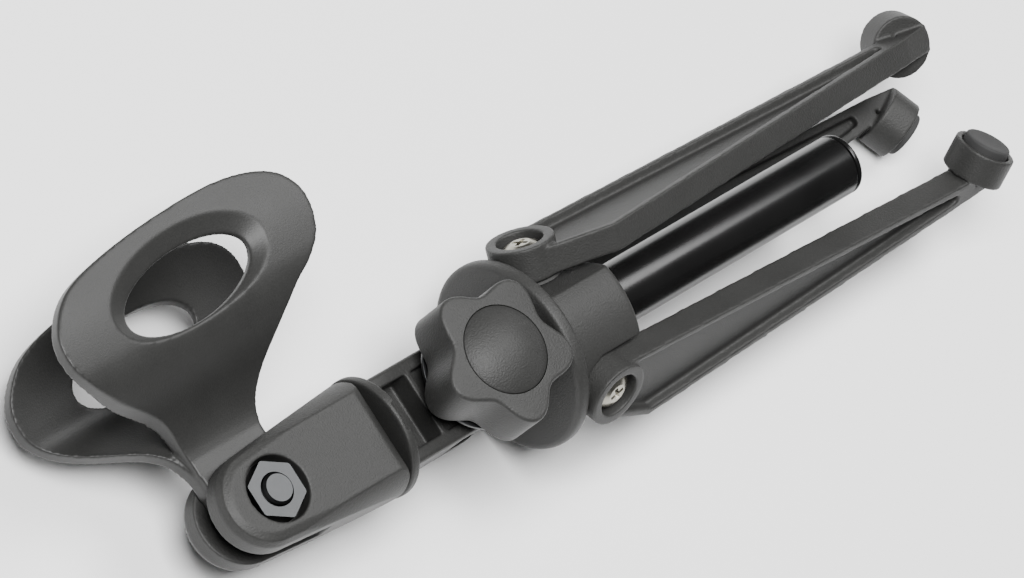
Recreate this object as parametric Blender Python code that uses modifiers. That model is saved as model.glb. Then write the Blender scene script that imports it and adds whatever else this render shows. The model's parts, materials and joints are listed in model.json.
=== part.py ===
"""Folding table-top microphone tripod with a spring microphone clip, lying folded on its back.

The centre tube lies along X: the clip is at -X and the feet are at +X. The clamp screw of the
tilting arm stands along Z, and the clip's two jaws open towards +Y.
"""

import math

import bmesh
import bpy
from mathutils import Matrix, Vector

MM = 0.001
GAP = 0.3 * MM  # clearance between pieces that touch

# Centre column. X positions are measured from the clamp screw's axis.
TUBE_RADIUS = 6.0 * MM
TUBE_WALL = 1.0 * MM
TUBE_END = 104.8 * MM
PLUG_DEPTH = 14.0 * MM

# Hub: a round flange, then a round block with a flat for each leg
FLANGE_FACE = 14.8 * MM
FLANGE_RADIUS = TUBE_RADIUS + 12.4 * MM
FLANGE_THICKNESS = 3.0 * MM
HUB_RADIUS = TUBE_RADIUS + 10.4 * MM
HUB_LENGTH = 18.9 * MM  # flange and block together
BUSH_WALL = 1.5 * MM
LEG_ANGLES = {"a": -60, "b": 60, "c": 180}  # turn about X that carries +Z onto the leg's screw
LEG_REST = {"a": -3.2, "b": 2.0, "c": 1.6}  # degrees that each leg stands open

# Legs
LEG_FLAT = TUBE_RADIUS + 5.6 * MM  # distance of a leg's flat from the tube's axis
LEG_THICKNESS = 5.6 * MM
LEG_LENGTH = 107.0 * MM  # hinge to the middle of the foot
LEG_OPENING = math.radians(66)
HINGE_SETBACK = 9.7 * MM  # from the flange's face to the leg hinges
KNUCKLE_RISE = 1.0 * MM
SHOULDER_REACH = 12.2 * MM
LEG_FOOT_WIDTH = 4.8 * MM
LEG_INWARD = 2.5 * MM  # how far a folded leg's foot leans towards the tube
BAR_OFFSET = 3.6 * MM  # the bar meets the foot this far ahead of the foot's middle
LEG_EDGE = 1.7 * MM  # flange of the leg's I section
LEG_WEB = 1.8 * MM
LEG_WASHER = 0.5 * MM
SCREW_RADIUS = 2.0 * MM
SCREW_HEAD_RADIUS = 3.5 * MM
SCREW_HEAD_HEIGHT = 1.7 * MM
SCREW_RECESS_RADIUS = 4.4 * MM
SCREW_RECESS_DEPTH = 2.6 * MM
SCREW_LENGTH = 8.0 * MM
FOOT_RADIUS = 6.1 * MM
FOOT_HEIGHT = 6.0 * MM
PAD_RADIUS = 4.6 * MM
PAD_PROUD = 1.4 * MM
PAD_RECESS = 2.0 * MM

# Tilting arm and its clamp
NUT_ACROSS_FLATS = 10.0 * MM
ARM_LENGTH = 20.6 * MM  # clamp screw to the face that the clip base screws up to
ARM_HALF_WIDTH = 8.8 * MM
ARM_HALF_DEPTH = 7.0 * MM
ARM_SIDE_WALL = 2.6 * MM
ARM_WEB = 3.0 * MM
RIB_PLACE = 10.2 * MM
RIB_WIDTH = 1.4 * MM
COLLAR_RADIUS = 11.7 * MM
COLLAR_THICKNESS = 1.9 * MM
TONGUE_HALF = 3.0 * MM
TONGUE_RADIUS = 8.2 * MM
TONGUE_NECK = 4.0 * MM  # half the tongue's width where it meets the column's head
FRICTION_WASHER = 0.5 * MM
BOSS_RADIUS = 0.72 * NUT_ACROSS_FLATS  # leaves a wall round the bolt head's seat
BOSS_FACE = TUBE_RADIUS + 3.8 * MM  # clears the column's head
CLAMP_RADIUS = 3.0 * MM
CLAMP_WASHER_RADIUS = 10.9 * MM
CLAMP_WASHER = 0.8 * MM
KNOB_RADIUS = 14.0 * MM
KNOB_VALLEY = 10.5 * MM
KNOB_LOBES = 5
KNOB_TURN = math.radians(44.6)
KNOB_HEIGHT = 10.4 * MM
CAP_RADIUS = 8.3 * MM
CAP_DOME = 2.6 * MM
CAP_SEAT = 1.6 * MM
INSERT_RADIUS = 5.0 * MM

# Screw-on clip base
BASE_LENGTH = 38.4 * MM
BASE_RADIUS = 11.5 * MM
BASE_HALF_DEPTH = 8.3 * MM
BASE_END_RADIUS = 9.0 * MM
BASE_CHAMFER = 2.2 * MM
STUD_RADIUS = 4.8 * MM
STUD_LENGTH = 10.5 * MM
STUD_WALL = 1.3 * MM
BOLT_PLACE = 26.7 * MM  # from the arm's face to the clip's bolt
BOLT_RADIUS = 3.0 * MM
NUT_HEIGHT = 3.2 * MM
NUT_RECESS_RADIUS = 0.62 * NUT_ACROSS_FLATS
NUT_RECESS_DEPTH = 4.0 * MM

# Microphone clip
CLIP_TONGUE_HALF = 2.2 * MM
CLIP_TONGUE_RADIUS = 8.2 * MM
CLIP_STEM_HALF = 8.4 * MM
CLIP_LEAN = math.radians(9.5)
CLIP_TURN = math.radians(0.4)
CLIP_WALL = 3.0 * MM
CLIP_FORK_HEIGHT = 19.5 * MM
JAW_HEIGHT = 37.6 * MM
JAW_OFFSET = 0.9 * MM  # jaws' middle ahead of the stem
JAW_TURN = math.radians(5.5)  # the jaws stand this much askew on the stem
JAW_RISE = 1.9 * MM  # jaws' outline above their holes
REAR_JAW_DROP = 3.4 * MM
JAW_HALF_LENGTH = 30.2 * MM
REAR_JAW_HALF_LENGTH = 28.6 * MM
JAW_HALF_HEIGHT = 12.6 * MM
JAW_SPREAD = 13.6 * MM
HOLE_HALF_LENGTH = 15.0 * MM
HOLE_HALF_HEIGHT = 6.4 * MM
HOLE_BEVEL = 3.6 * MM

ROUND = 32  # sides of a plain round piece

# Places that several pieces share
FLANGE_BACK = FLANGE_FACE + FLANGE_THICKNESS
HUB_END = FLANGE_FACE + HUB_LENGTH
HINGE_X = FLANGE_FACE + HINGE_SETBACK
KNUCKLE_RADIUS = HINGE_SETBACK - FLANGE_THICKNESS - GAP
LEG_INNER = LEG_FLAT + GAP + LEG_WASHER + GAP
LEG_OUTER = LEG_INNER + LEG_THICKNESS
LEG_MIDDLE = (LEG_INNER + LEG_OUTER) / 2
BUSH_INNER = TUBE_RADIUS + GAP
BUSH_OUTER = BUSH_INNER + BUSH_WALL
BUSH_SEAT = FLANGE_FACE + FLANGE_THICKNESS + 0.5 * MM
HEAD_TOP = FLANGE_FACE - GAP
HEAD_BASE = HEAD_TOP - 5.2 * MM
HEAD_RADIUS = TUBE_RADIUS + GAP + 3.4 * MM
TUBE_START = HEAD_BASE + 2.0 * MM
PIN_PLACE = TUBE_START + 8.0 * MM
PIN_RADIUS = 1.0 * MM
PLUG_CAP = 1.4 * MM
TONGUE_ROOM = TONGUE_HALF + GAP + FRICTION_WASHER + GAP
BOLT_CLEAR = CLAMP_RADIUS + GAP
CLAMP_WASHER_BACK = BOSS_FACE + GAP
KNOB_BACK = CLAMP_WASHER_BACK + CLAMP_WASHER + GAP
KNOB_FACE = KNOB_BACK + KNOB_HEIGHT
CAP_FLOOR = KNOB_FACE - CAP_SEAT
INSERT_TOP = CAP_FLOOR - 1.3 * MM
INSERT_OUTER = STUD_RADIUS + GAP + STUD_WALL
SLOT_HALF = CLIP_TONGUE_HALF + GAP
STUD_FOOT = 1.7 * MM
HEX_TO_CORNER = 1 / math.cos(math.pi / 6)

ALONG_X = Matrix.Rotation(math.radians(90), 4, "Y")
UPRIGHT = Matrix.Identity(4)


# ---------------------------------------------------------------- tools
def clear_scene():
    for thing in list(bpy.data.objects):
        bpy.data.objects.remove(thing, do_unlink=True)


def new_collection(name, hidden=False):
    collection = bpy.data.collections.new(name)
    collection.hide_render = hidden
    bpy.context.scene.collection.children.link(collection)
    return collection


def finish_of(name, colour, roughness, metallic=0.0):
    material = bpy.data.materials.new(name)
    material.use_nodes = True
    shader = material.node_tree.nodes["Principled BSDF"]
    shader.inputs["Base Color"].default_value = (*colour, 1.0)
    shader.inputs["Roughness"].default_value = roughness
    shader.inputs["Metallic"].default_value = metallic
    material.diffuse_color = (*colour, 1.0)
    return material


def empty(name, parent=None, place=UPRIGHT):
    thing = bpy.data.objects.new(name, None)
    thing.empty_display_size = 10 * MM
    parts.objects.link(thing)
    thing.parent = parent
    thing.matrix_local = place
    return thing


def piece(name, mesh, material, parent, place=UPRIGHT):
    """A piece of the object, in the parts collection."""
    thing = bpy.data.objects.new(name, mesh)
    mesh.materials.append(material)
    mesh.shade_smooth()
    mesh.set_sharp_from_angle(angle=math.radians(35))
    parts.objects.link(thing)
    thing.parent = parent
    thing.matrix_local = place
    return thing


def helper(mesh, target, place=UPRIGHT):
    """A shape that cuts, joins or trims a piece, in the piece's own frame."""
    thing = bpy.data.objects.new(target.name + "_tool", mesh)
    cutters.objects.link(thing)
    thing.parent = target
    thing.matrix_local = place
    thing.hide_render = True
    thing.display_type = "WIRE"
    return thing


def combine(target, operation, tool):
    modifier = target.modifiers.new(operation.lower(), "BOOLEAN")
    modifier.operation = operation
    modifier.solver = "EXACT"
    modifier.object = tool


def cut(target, mesh, place=UPRIGHT):
    combine(target, "DIFFERENCE", helper(mesh, target, place))


def join(target, mesh, place=UPRIGHT):
    combine(target, "UNION", helper(mesh, target, place))


def trim(target, mesh, place=UPRIGHT):
    combine(target, "INTERSECT", helper(mesh, target, place))


def mesh_from(bm, name):
    mesh = bpy.data.meshes.new(name)
    bm.to_mesh(mesh)
    bm.free()
    return mesh


def evaluated_mesh(thing):
    """The mesh of an object with its modifiers applied. The object and its tools are removed."""
    bpy.context.view_layer.update()
    graph = bpy.context.evaluated_depsgraph_get()
    mesh = bpy.data.meshes.new_from_object(thing.evaluated_get(graph))
    for tool in list(thing.children):
        bpy.data.objects.remove(tool, do_unlink=True)
    bpy.data.objects.remove(thing, do_unlink=True)
    return mesh


def rod(radius, low, high, sides=ROUND):
    """A cylinder along Z from low to high."""
    bm = bmesh.new()
    middle = Matrix.Translation((0, 0, (low + high) / 2))
    bmesh.ops.create_cone(
        bm, cap_ends=True, segments=sides, radius1=radius, radius2=radius, depth=high - low, matrix=middle
    )
    return mesh_from(bm, "rod")


def hexagon(across_flats, low, high):
    return rod(across_flats / 2 * HEX_TO_CORNER, low, high, sides=6)


def block(low, high):
    """A box between two corners."""
    bm = bmesh.new()
    low, high = Vector(low), Vector(high)
    size = high - low
    place = Matrix.Translation((low + high) / 2) @ Matrix.Diagonal((*size, 1))
    bmesh.ops.create_cube(bm, size=1, matrix=place)
    return mesh_from(bm, "block")


def plate(outline, low, high, bevel=0.0, smooth=False, segments=2):
    """A flat outline in X and Y, extruded from low to high along Z, its rims bevelled."""
    curve = bpy.data.curves.new("outline", "CURVE")
    curve.dimensions = "2D"
    curve.fill_mode = "BOTH"
    curve.extrude = (high - low) / 2
    if smooth:
        curve.resolution_u = 6
        spline = curve.splines.new("BEZIER")
        spline.bezier_points.add(len(outline) - 1)
        for point, (x, y) in zip(spline.bezier_points, outline):
            point.co = (x, y, 0)
            point.handle_left_type = "AUTO"
            point.handle_right_type = "AUTO"
    else:
        spline = curve.splines.new("POLY")
        spline.points.add(len(outline) - 1)
        for point, (x, y) in zip(spline.points, outline):
            point.co = (x, y, 0, 1)
    spline.use_cyclic_u = True
    thing = bpy.data.objects.new("outline", curve)
    bpy.context.scene.collection.objects.link(thing)
    mesh = evaluated_mesh(thing)
    bpy.data.curves.remove(curve)
    bm = bmesh.new()
    bm.from_mesh(mesh)
    bmesh.ops.remove_doubles(bm, verts=bm.verts, dist=0.001 * MM)
    bmesh.ops.dissolve_limit(bm, angle_limit=0.001, verts=bm.verts, edges=bm.edges)
    bmesh.ops.translate(bm, verts=bm.verts, vec=(0, 0, (low + high) / 2))
    if bevel:
        rims = [edge for edge in bm.edges if abs(edge.verts[0].co.z - edge.verts[1].co.z) < 0.01 * MM]
        bmesh.ops.bevel(
            bm, geom=rims, offset=bevel, segments=segments, profile=0.5, affect="EDGES", material=-1
        )
    bmesh.ops.recalc_face_normals(bm, faces=bm.faces)
    bpy.data.meshes.remove(mesh)
    return mesh_from(bm, "plate")


def turned(name, profile, material, parent, place=ALONG_X, closed=False, steps=ROUND):
    """A profile of (radius, height) points, top to bottom on its outer side, turned about local Z."""
    bm = bmesh.new()
    points = [bm.verts.new((radius, 0, height)) for radius, height in profile]
    for first, second in zip(points, points[1:]):
        bm.edges.new((first, second))
    if closed:
        bm.edges.new((points[-1], points[0]))
    thing = piece(name, mesh_from(bm, name), material, parent, place)
    screw = thing.modifiers.new("turn", "SCREW")
    screw.axis = "Z"
    screw.angle = 2 * math.pi
    screw.steps = steps
    screw.render_steps = steps
    screw.use_merge_vertices = True
    screw.merge_threshold = 0.001 * MM
    screw.use_smooth_shade = True
    return thing


def ring(name, inner, outer, low, high, material, parent, place=ALONG_X, chamfer=0.0):
    profile = [
        (outer - chamfer, high),
        (outer, high - chamfer),
        (outer, low + chamfer),
        (outer - chamfer, low),
        (inner, low),
        (inner, high),
    ]
    if not chamfer:
        profile = [profile[1], profile[2], profile[4], profile[5]]
    return turned(name, profile, material, parent, place, closed=True)


def arc(centre, radius, start, end, steps):
    """Points of an arc in degrees, ends included."""
    turns = [math.radians(start + (end - start) * i / steps) for i in range(steps + 1)]
    return [(centre[0] + radius * math.cos(a), centre[1] + radius * math.sin(a)) for a in turns]


# ---------------------------------------------------------------- centre column
def build_column(parent):
    tube_end = TUBE_END - PLUG_CAP
    tube = ring(
        "centre_tube", TUBE_RADIUS - TUBE_WALL, TUBE_RADIUS, TUBE_START, tube_end, gloss_black, parent
    )
    plug_radius = TUBE_RADIUS - TUBE_WALL - GAP
    socket_radius = TUBE_RADIUS + GAP
    socket_floor = TUBE_START - GAP
    head = turned(
        "column_head",
        [
            (0, TUBE_START + PLUG_DEPTH),
            (plug_radius, TUBE_START + PLUG_DEPTH),
            (plug_radius, socket_floor),
            (socket_radius, socket_floor),
            (socket_radius, HEAD_TOP),
            (HEAD_RADIUS, HEAD_TOP),
            (HEAD_RADIUS, HEAD_BASE + 0.6 * MM),
            (HEAD_RADIUS - 0.6 * MM, HEAD_BASE),
            (0, HEAD_BASE),
        ],
        plastic,
        parent,
        place=UPRIGHT,
    )
    head.matrix_local = ALONG_X
    upright = ALONG_X.inverted()
    reach = HEAD_BASE + 1.0 * MM
    tongue = arc((0, 0), TONGUE_RADIUS, 62, 298, 20)
    tongue += [(reach, -TONGUE_NECK), (reach, TONGUE_NECK)]
    join(head, plate(tongue, -TONGUE_HALF, TONGUE_HALF), upright)
    cut(head, rod(BOLT_CLEAR, -TONGUE_RADIUS, TONGUE_RADIUS), upright)
    across = Matrix.Translation((PIN_PLACE, 0, 0)) @ Matrix.Rotation(math.radians(90), 4, "X")
    pin_hole = PIN_RADIUS + GAP
    cut(head, rod(pin_hole, -HEAD_RADIUS, HEAD_RADIUS, sides=16), upright @ across)
    cut(tube, rod(pin_hole, -HEAD_RADIUS, HEAD_RADIUS, sides=16), upright @ across)
    half = TUBE_RADIUS - 0.2 * MM
    pin = [(0, half), (PIN_RADIUS, half), (PIN_RADIUS, -half), (0, -half)]
    turned("head_pin", pin, steel, parent, across, steps=16)
    turned(
        "tube_plug",
        [
            (0, TUBE_END),
            (TUBE_RADIUS - 0.8 * MM, TUBE_END),
            (TUBE_RADIUS, TUBE_END - 0.8 * MM),
            (TUBE_RADIUS, tube_end + GAP),
            (plug_radius, tube_end + GAP),
            (plug_radius, tube_end - 6 * MM),
            (0, tube_end - 6 * MM),
        ],
        plastic,
        parent,
    )


# ---------------------------------------------------------------- hub
def build_hub(parent):
    edge = 1.0 * MM
    lip = TUBE_RADIUS + GAP
    seat = BUSH_OUTER + GAP
    hub = turned(
        "hub",
        [
            (HUB_RADIUS - edge, HUB_END),
            (HUB_RADIUS, HUB_END - edge),
            (HUB_RADIUS, FLANGE_BACK),
            (FLANGE_RADIUS - edge, FLANGE_BACK),
            (FLANGE_RADIUS, FLANGE_BACK - edge),
            (FLANGE_RADIUS, FLANGE_FACE + edge),
            (FLANGE_RADIUS - edge, FLANGE_FACE),
            (lip, FLANGE_FACE),
            (lip, BUSH_SEAT),
            (seat, BUSH_SEAT),
            (seat, HUB_END),
        ],
        plastic,
        parent,
        closed=True,
        steps=48,
    )
    upright = ALONG_X.inverted()
    room = KNUCKLE_RADIUS + 2 * GAP
    far = 2 * HUB_RADIUS
    seat_outline = arc((0, 0), room, 90, 180, 10) + [(-KNUCKLE_RADIUS - GAP, -far), (far, -far), (far, room)]
    flat = plate(seat_outline, LEG_FLAT, HUB_RADIUS + edge)
    hole = rod(SCREW_RADIUS + GAP, BUSH_OUTER + 2 * GAP, HUB_RADIUS + edge, sides=16)
    for angle in LEG_ANGLES.values():
        turn = upright @ Matrix.Rotation(math.radians(angle), 4, "X") @ Matrix.Translation((HINGE_X, 0, 0))
        cut(hub, flat, turn)
        cut(hub, hole, turn)
    ring("column_bush", BUSH_INNER, BUSH_OUTER, BUSH_SEAT + GAP, HUB_END - GAP, bush_grey, parent)


# ---------------------------------------------------------------- legs
def leg_outline(inset, start):
    """The leg seen along its screw: hinge at the origin, foot at +X, shoulder at -Y."""
    stop = Vector((-math.cos(LEG_OPENING), -math.sin(LEG_OPENING)))
    along = Vector((math.sin(LEG_OPENING), -math.cos(LEG_OPENING)))
    round_radius = KNUCKLE_RADIUS - GAP - inset
    touch = stop * round_radius
    shoulder = touch + along * ((SHOULDER_REACH - inset + touch.y) / math.cos(LEG_OPENING))
    tip = LEG_LENGTH - FOOT_RADIUS / 2
    half = LEG_FOOT_WIDTH / 2 - inset
    back = (start, round_radius)
    knuckle_end = math.degrees(math.atan2(stop.y, stop.x)) + 360
    if inset:
        front = touch + along * (start + inset)
        tip -= 4 * inset
        return [tuple(front), tuple(shoulder), (tip, -BAR_OFFSET - half), (tip, -BAR_OFFSET + half), back]
    knuckle = arc((0, 0), round_radius, 90, knuckle_end, 18)
    return knuckle + [tuple(shoulder), (tip, -BAR_OFFSET - half), (tip, -BAR_OFFSET + half)]


def foot_place():
    """Frame of the foot: Z is the way that its pad faces."""
    tilt = Matrix.Rotation(math.radians(90), 4, "Y")
    turn = Matrix.Rotation(LEG_OPENING, 4, "Z")
    return Matrix.Translation((LEG_LENGTH, 0, LEG_MIDDLE - LEG_INWARD)) @ turn @ tilt


def leaning(mesh):
    """The same mesh, leaning towards the tube from the hinge to the foot."""
    shear = Matrix.Identity(4)
    shear[2][0] = -LEG_INWARD / LEG_LENGTH
    mesh.transform(shear)
    return mesh


def leg_mesh():
    bar = plate(leg_outline(0, 0), LEG_INNER + GAP, LEG_OUTER, bevel=0.6 * MM, segments=1)
    leg = piece("leg", leaning(bar), plastic, None)
    pocket = leg_outline(LEG_EDGE, KNUCKLE_RADIUS * 0.5)
    web_low = LEG_MIDDLE - LEG_WEB / 2
    web_high = LEG_MIDDLE + LEG_WEB / 2
    cut(leg, leaning(plate(pocket, web_high, LEG_OUTER + 1 * MM)))
    cut(leg, leaning(plate(pocket, LEG_INNER - 1 * MM, web_low)))
    knuckle_top = LEG_OUTER + KNUCKLE_RISE
    join(leg, rod(KNUCKLE_RADIUS, LEG_INNER, knuckle_top))
    foot = foot_place()
    half = FOOT_HEIGHT / 2
    join(leg, rod(FOOT_RADIUS, -half, half), foot)
    cut(leg, rod(PAD_RADIUS + GAP, half - PAD_RECESS, half + 1 * MM), foot)
    cut(leg, rod(SCREW_RADIUS + GAP, 0, 2 * LEG_OUTER, sides=20))
    cut(leg, rod(SCREW_RECESS_RADIUS, knuckle_top - SCREW_RECESS_DEPTH, 2 * LEG_OUTER, sides=28))
    return evaluated_mesh(leg)


def build_legs(parent):
    mesh = leg_mesh()
    foot = foot_place()
    half = FOOT_HEIGHT / 2
    seat = LEG_OUTER + KNUCKLE_RISE - SCREW_RECESS_DEPTH + GAP
    top = seat + SCREW_HEAD_HEIGHT
    for letter, angle in LEG_ANGLES.items():
        turn = Matrix.Rotation(math.radians(angle), 4, "X")
        place = turn @ Matrix.Translation((HINGE_X, 0, 0))
        rest = Matrix.Rotation(-math.radians(LEG_REST[letter]), 4, "Z")
        hinge = empty("leg_hinge_" + letter, parent, place @ rest)
        piece("leg_" + letter, mesh, plastic, hinge)
        ring("leg_washer_" + letter, SCREW_RADIUS + GAP, KNUCKLE_RADIUS - GAP,
             LEG_FLAT + GAP, LEG_FLAT + GAP + LEG_WASHER, nylon, parent, place)
        edge = 0.5 * MM
        turned(
            "leg_screw_" + letter,
            [
                (0, top),
                (SCREW_HEAD_RADIUS - 3 * edge, top),
                (SCREW_HEAD_RADIUS, top - edge),
                (SCREW_HEAD_RADIUS, seat),
                (SCREW_RADIUS, seat),
                (SCREW_RADIUS, seat - SCREW_LENGTH + edge),
                (SCREW_RADIUS - edge, seat - SCREW_LENGTH),
                (0, seat - SCREW_LENGTH),
            ],
            nickel,
            parent,
            place,
            steps=24,
        )
        face = half + PAD_PROUD
        floor = half - PAD_RECESS + GAP
        turned(
            "foot_pad_" + letter,
            [(0, face), (PAD_RADIUS - edge, face), (PAD_RADIUS, face - edge), (PAD_RADIUS, floor), (0, floor)],
            rubber,
            hinge,
            foot,
        )


# ---------------------------------------------------------------- tilting arm
def build_arm(parent):
    start = -ARM_LENGTH + COLLAR_THICKNESS / 2
    outline = arc((0, 0), ARM_HALF_WIDTH, 90, -90, 16) + [(start, -ARM_HALF_WIDTH), (start, ARM_HALF_WIDTH)]
    arm = piece(
        "arm", plate(outline, -ARM_HALF_DEPTH, ARM_HALF_DEPTH, bevel=0.7 * MM, segments=1), plastic, parent
    )
    pocket_end = -ARM_LENGTH + COLLAR_THICKNESS + 0.9 * MM
    inner = ARM_HALF_WIDTH - ARM_SIDE_WALL
    deep = ARM_WEB / 2
    shallow = TONGUE_ROOM + 1.3 * MM
    rib_front = -RIB_PLACE + RIB_WIDTH / 2
    rib_back = -RIB_PLACE - RIB_WIDTH / 2
    outside = BOSS_FACE + 1 * MM
    for side in (1, -1):
        flip = Matrix.Rotation(math.pi if side < 0 else 0, 4, "X")
        cut(arm, block((pocket_end, -inner, deep), (rib_back, inner, outside)), flip)
        cut(arm, block((rib_front, -inner, shallow), (-BOSS_RADIUS / 2, inner, outside)), flip)
        join(arm, rod(BOSS_RADIUS, deep, BOSS_FACE), flip)
    collar_place = Matrix.Translation((-ARM_LENGTH, 0, 0)) @ ALONG_X
    join(arm, rod(COLLAR_RADIUS, 0, COLLAR_THICKNESS, sides=48), collar_place)
    room = math.hypot(HEAD_BASE, TONGUE_NECK) + GAP
    slot = arc((0, 0), room, 90, 270, 16) + [(2 * room, -room), (2 * room, room)]
    cut(arm, plate(slot, -TONGUE_ROOM, TONGUE_ROOM))
    cut(arm, rod(BOLT_CLEAR, -2 * BOSS_FACE, 2 * BOSS_FACE))
    cut(arm, hexagon(NUT_ACROSS_FLATS + 2 * GAP, -2 * BOSS_FACE, -BOSS_FACE + NUT_RECESS_DEPTH))
    cut(arm, rod(STUD_RADIUS + GAP, -1 * MM, STUD_FOOT), collar_place)
    notch = 2.8 * MM
    cut(arm, block((-ARM_LENGTH + COLLAR_THICKNESS / 2, -notch, ARM_HALF_DEPTH),
                   (-ARM_LENGTH + 2 * COLLAR_THICKNESS, notch, COLLAR_RADIUS + 1 * MM)))
    edge = 0.5 * MM
    turned(
        "arm_stud",
        [
            (0, STUD_FOOT - GAP),
            (STUD_RADIUS, STUD_FOOT - GAP),
            (STUD_RADIUS, -STUD_LENGTH + edge),
            (STUD_RADIUS - edge, -STUD_LENGTH),
            (0, -STUD_LENGTH),
        ],
        steel,
        parent,
        collar_place,
    )
    head_floor = -BOSS_FACE + NUT_RECESS_DEPTH - GAP
    bolt = turned(
        "clamp_bolt",
        [
            (0, INSERT_TOP + GAP),
            (CLAMP_RADIUS - edge, INSERT_TOP + GAP),
            (CLAMP_RADIUS, INSERT_TOP + GAP - edge),
            (CLAMP_RADIUS, head_floor - 1 * MM),
            (0, head_floor - 1 * MM),
        ],
        steel,
        parent,
        UPRIGHT,
    )
    join(bolt, hexagon(NUT_ACROSS_FLATS, head_floor - NUT_HEIGHT, head_floor))
    near = TONGUE_HALF + GAP
    far = near + FRICTION_WASHER
    washer = TONGUE_RADIUS - GAP
    ring("friction_washer_front", BOLT_CLEAR, washer, near, far, nylon, parent, UPRIGHT)
    ring("friction_washer_rear", BOLT_CLEAR, washer, -far, -near, nylon, parent, UPRIGHT)
    ring("clamp_washer", BOLT_CLEAR, CLAMP_WASHER_RADIUS, CLAMP_WASHER_BACK,
         CLAMP_WASHER_BACK + CLAMP_WASHER, steel, parent, UPRIGHT)


# ---------------------------------------------------------------- knob
def knob_outline():
    """A round star: the radius swings between the valleys and the lobes."""
    middle = (KNOB_RADIUS + KNOB_VALLEY) / 2
    swing = (KNOB_RADIUS - KNOB_VALLEY) / 2
    points = []
    for i in range(60):
        turn = 2 * math.pi * i / 60
        radius = middle + swing * math.cos(KNOB_LOBES * turn)
        points.append((radius * math.cos(turn + KNOB_TURN), radius * math.sin(turn + KNOB_TURN)))
    return points


def build_knob(parent):
    knob = piece(
        "clamp_knob", plate(knob_outline(), KNOB_BACK, KNOB_FACE, bevel=0.7 * MM, segments=1), plastic, parent
    )
    cut(knob, rod(CAP_RADIUS + GAP, CAP_FLOOR, KNOB_FACE + 1 * MM))
    cut(knob, rod(INSERT_RADIUS + GAP, KNOB_BACK - 1 * MM, INSERT_TOP))
    cut(knob, rod(BOLT_CLEAR, KNOB_BACK - 1 * MM, KNOB_FACE + 1 * MM))
    ring("knob_insert", BOLT_CLEAR, INSERT_RADIUS, KNOB_BACK + GAP, INSERT_TOP - GAP, brass, parent, UPRIGHT)
    dome_radius = (CAP_RADIUS**2 + CAP_DOME**2) / (2 * CAP_DOME)
    dome_middle = KNOB_FACE + CAP_DOME - dome_radius
    opening = math.degrees(math.asin(CAP_RADIUS / dome_radius))
    dome = arc((0, dome_middle), dome_radius, 90, 90 - opening, 6)
    dome[0] = (0, KNOB_FACE + CAP_DOME)
    floor = CAP_FLOOR + GAP
    turned("knob_cap", dome + [(CAP_RADIUS, floor), (0, floor)], plastic, parent, UPRIGHT)


# ---------------------------------------------------------------- clip base
def build_clip_base(parent):
    """Measured from the face of the arm's collar, towards -X."""
    end = -BASE_LENGTH + BASE_END_RADIUS
    outline = [(-GAP, BASE_RADIUS)] + arc((end, 0), BASE_END_RADIUS, 93, 267, 18) + [(-GAP, -BASE_RADIUS)]
    base = piece(
        "clip_base",
        plate(outline, -BASE_HALF_DEPTH, BASE_HALF_DEPTH, bevel=BASE_CHAMFER, segments=2),
        plastic,
        parent,
    )
    trim(base, rod(BASE_RADIUS, -2 * BASE_LENGTH, -GAP, sides=48), ALONG_X)
    slot_end = -BOLT_PLACE + CLIP_STEM_HALF + 2 * GAP
    cut(base, block((-2 * BASE_LENGTH, -2 * BASE_RADIUS, -SLOT_HALF), (slot_end, 2 * BASE_RADIUS, SLOT_HALF)))
    cut(base, rod(INSERT_OUTER + GAP, -STUD_LENGTH - 2 * GAP, 1 * MM), ALONG_X)
    at_bolt = Matrix.Translation((-BOLT_PLACE, 0, 0))
    recess = BASE_HALF_DEPTH - NUT_RECESS_DEPTH
    cut(base, rod(BOLT_RADIUS + GAP, -2 * BASE_RADIUS, 2 * BASE_RADIUS), at_bolt)
    cut(base, rod(NUT_RECESS_RADIUS, recess, 2 * BASE_RADIUS), at_bolt)
    cut(base, rod(NUT_RECESS_RADIUS, -2 * BASE_RADIUS, -recess), at_bolt)
    ring("thread_insert", STUD_RADIUS + GAP, INSERT_OUTER, -STUD_LENGTH, -2 * GAP, brass, parent)
    edge = 0.6 * MM
    top = BASE_HALF_DEPTH + 0.4 * MM
    bolt = turned(
        "clip_bolt",
        [
            (0, top),
            (BOLT_RADIUS - edge, top),
            (BOLT_RADIUS, top - edge),
            (BOLT_RADIUS, -recess - 1 * MM),
            (0, -recess - 1 * MM),
        ],
        steel,
        parent,
        at_bolt,
    )
    join(bolt, hexagon(NUT_ACROSS_FLATS, -recess - GAP - NUT_HEIGHT, -recess - GAP))
    nut = piece(
        "clip_nut", hexagon(NUT_ACROSS_FLATS, recess + GAP, recess + GAP + NUT_HEIGHT), steel, parent, at_bolt
    )
    cut(nut, rod(BOLT_RADIUS + GAP, -BASE_RADIUS, BASE_RADIUS))


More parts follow.
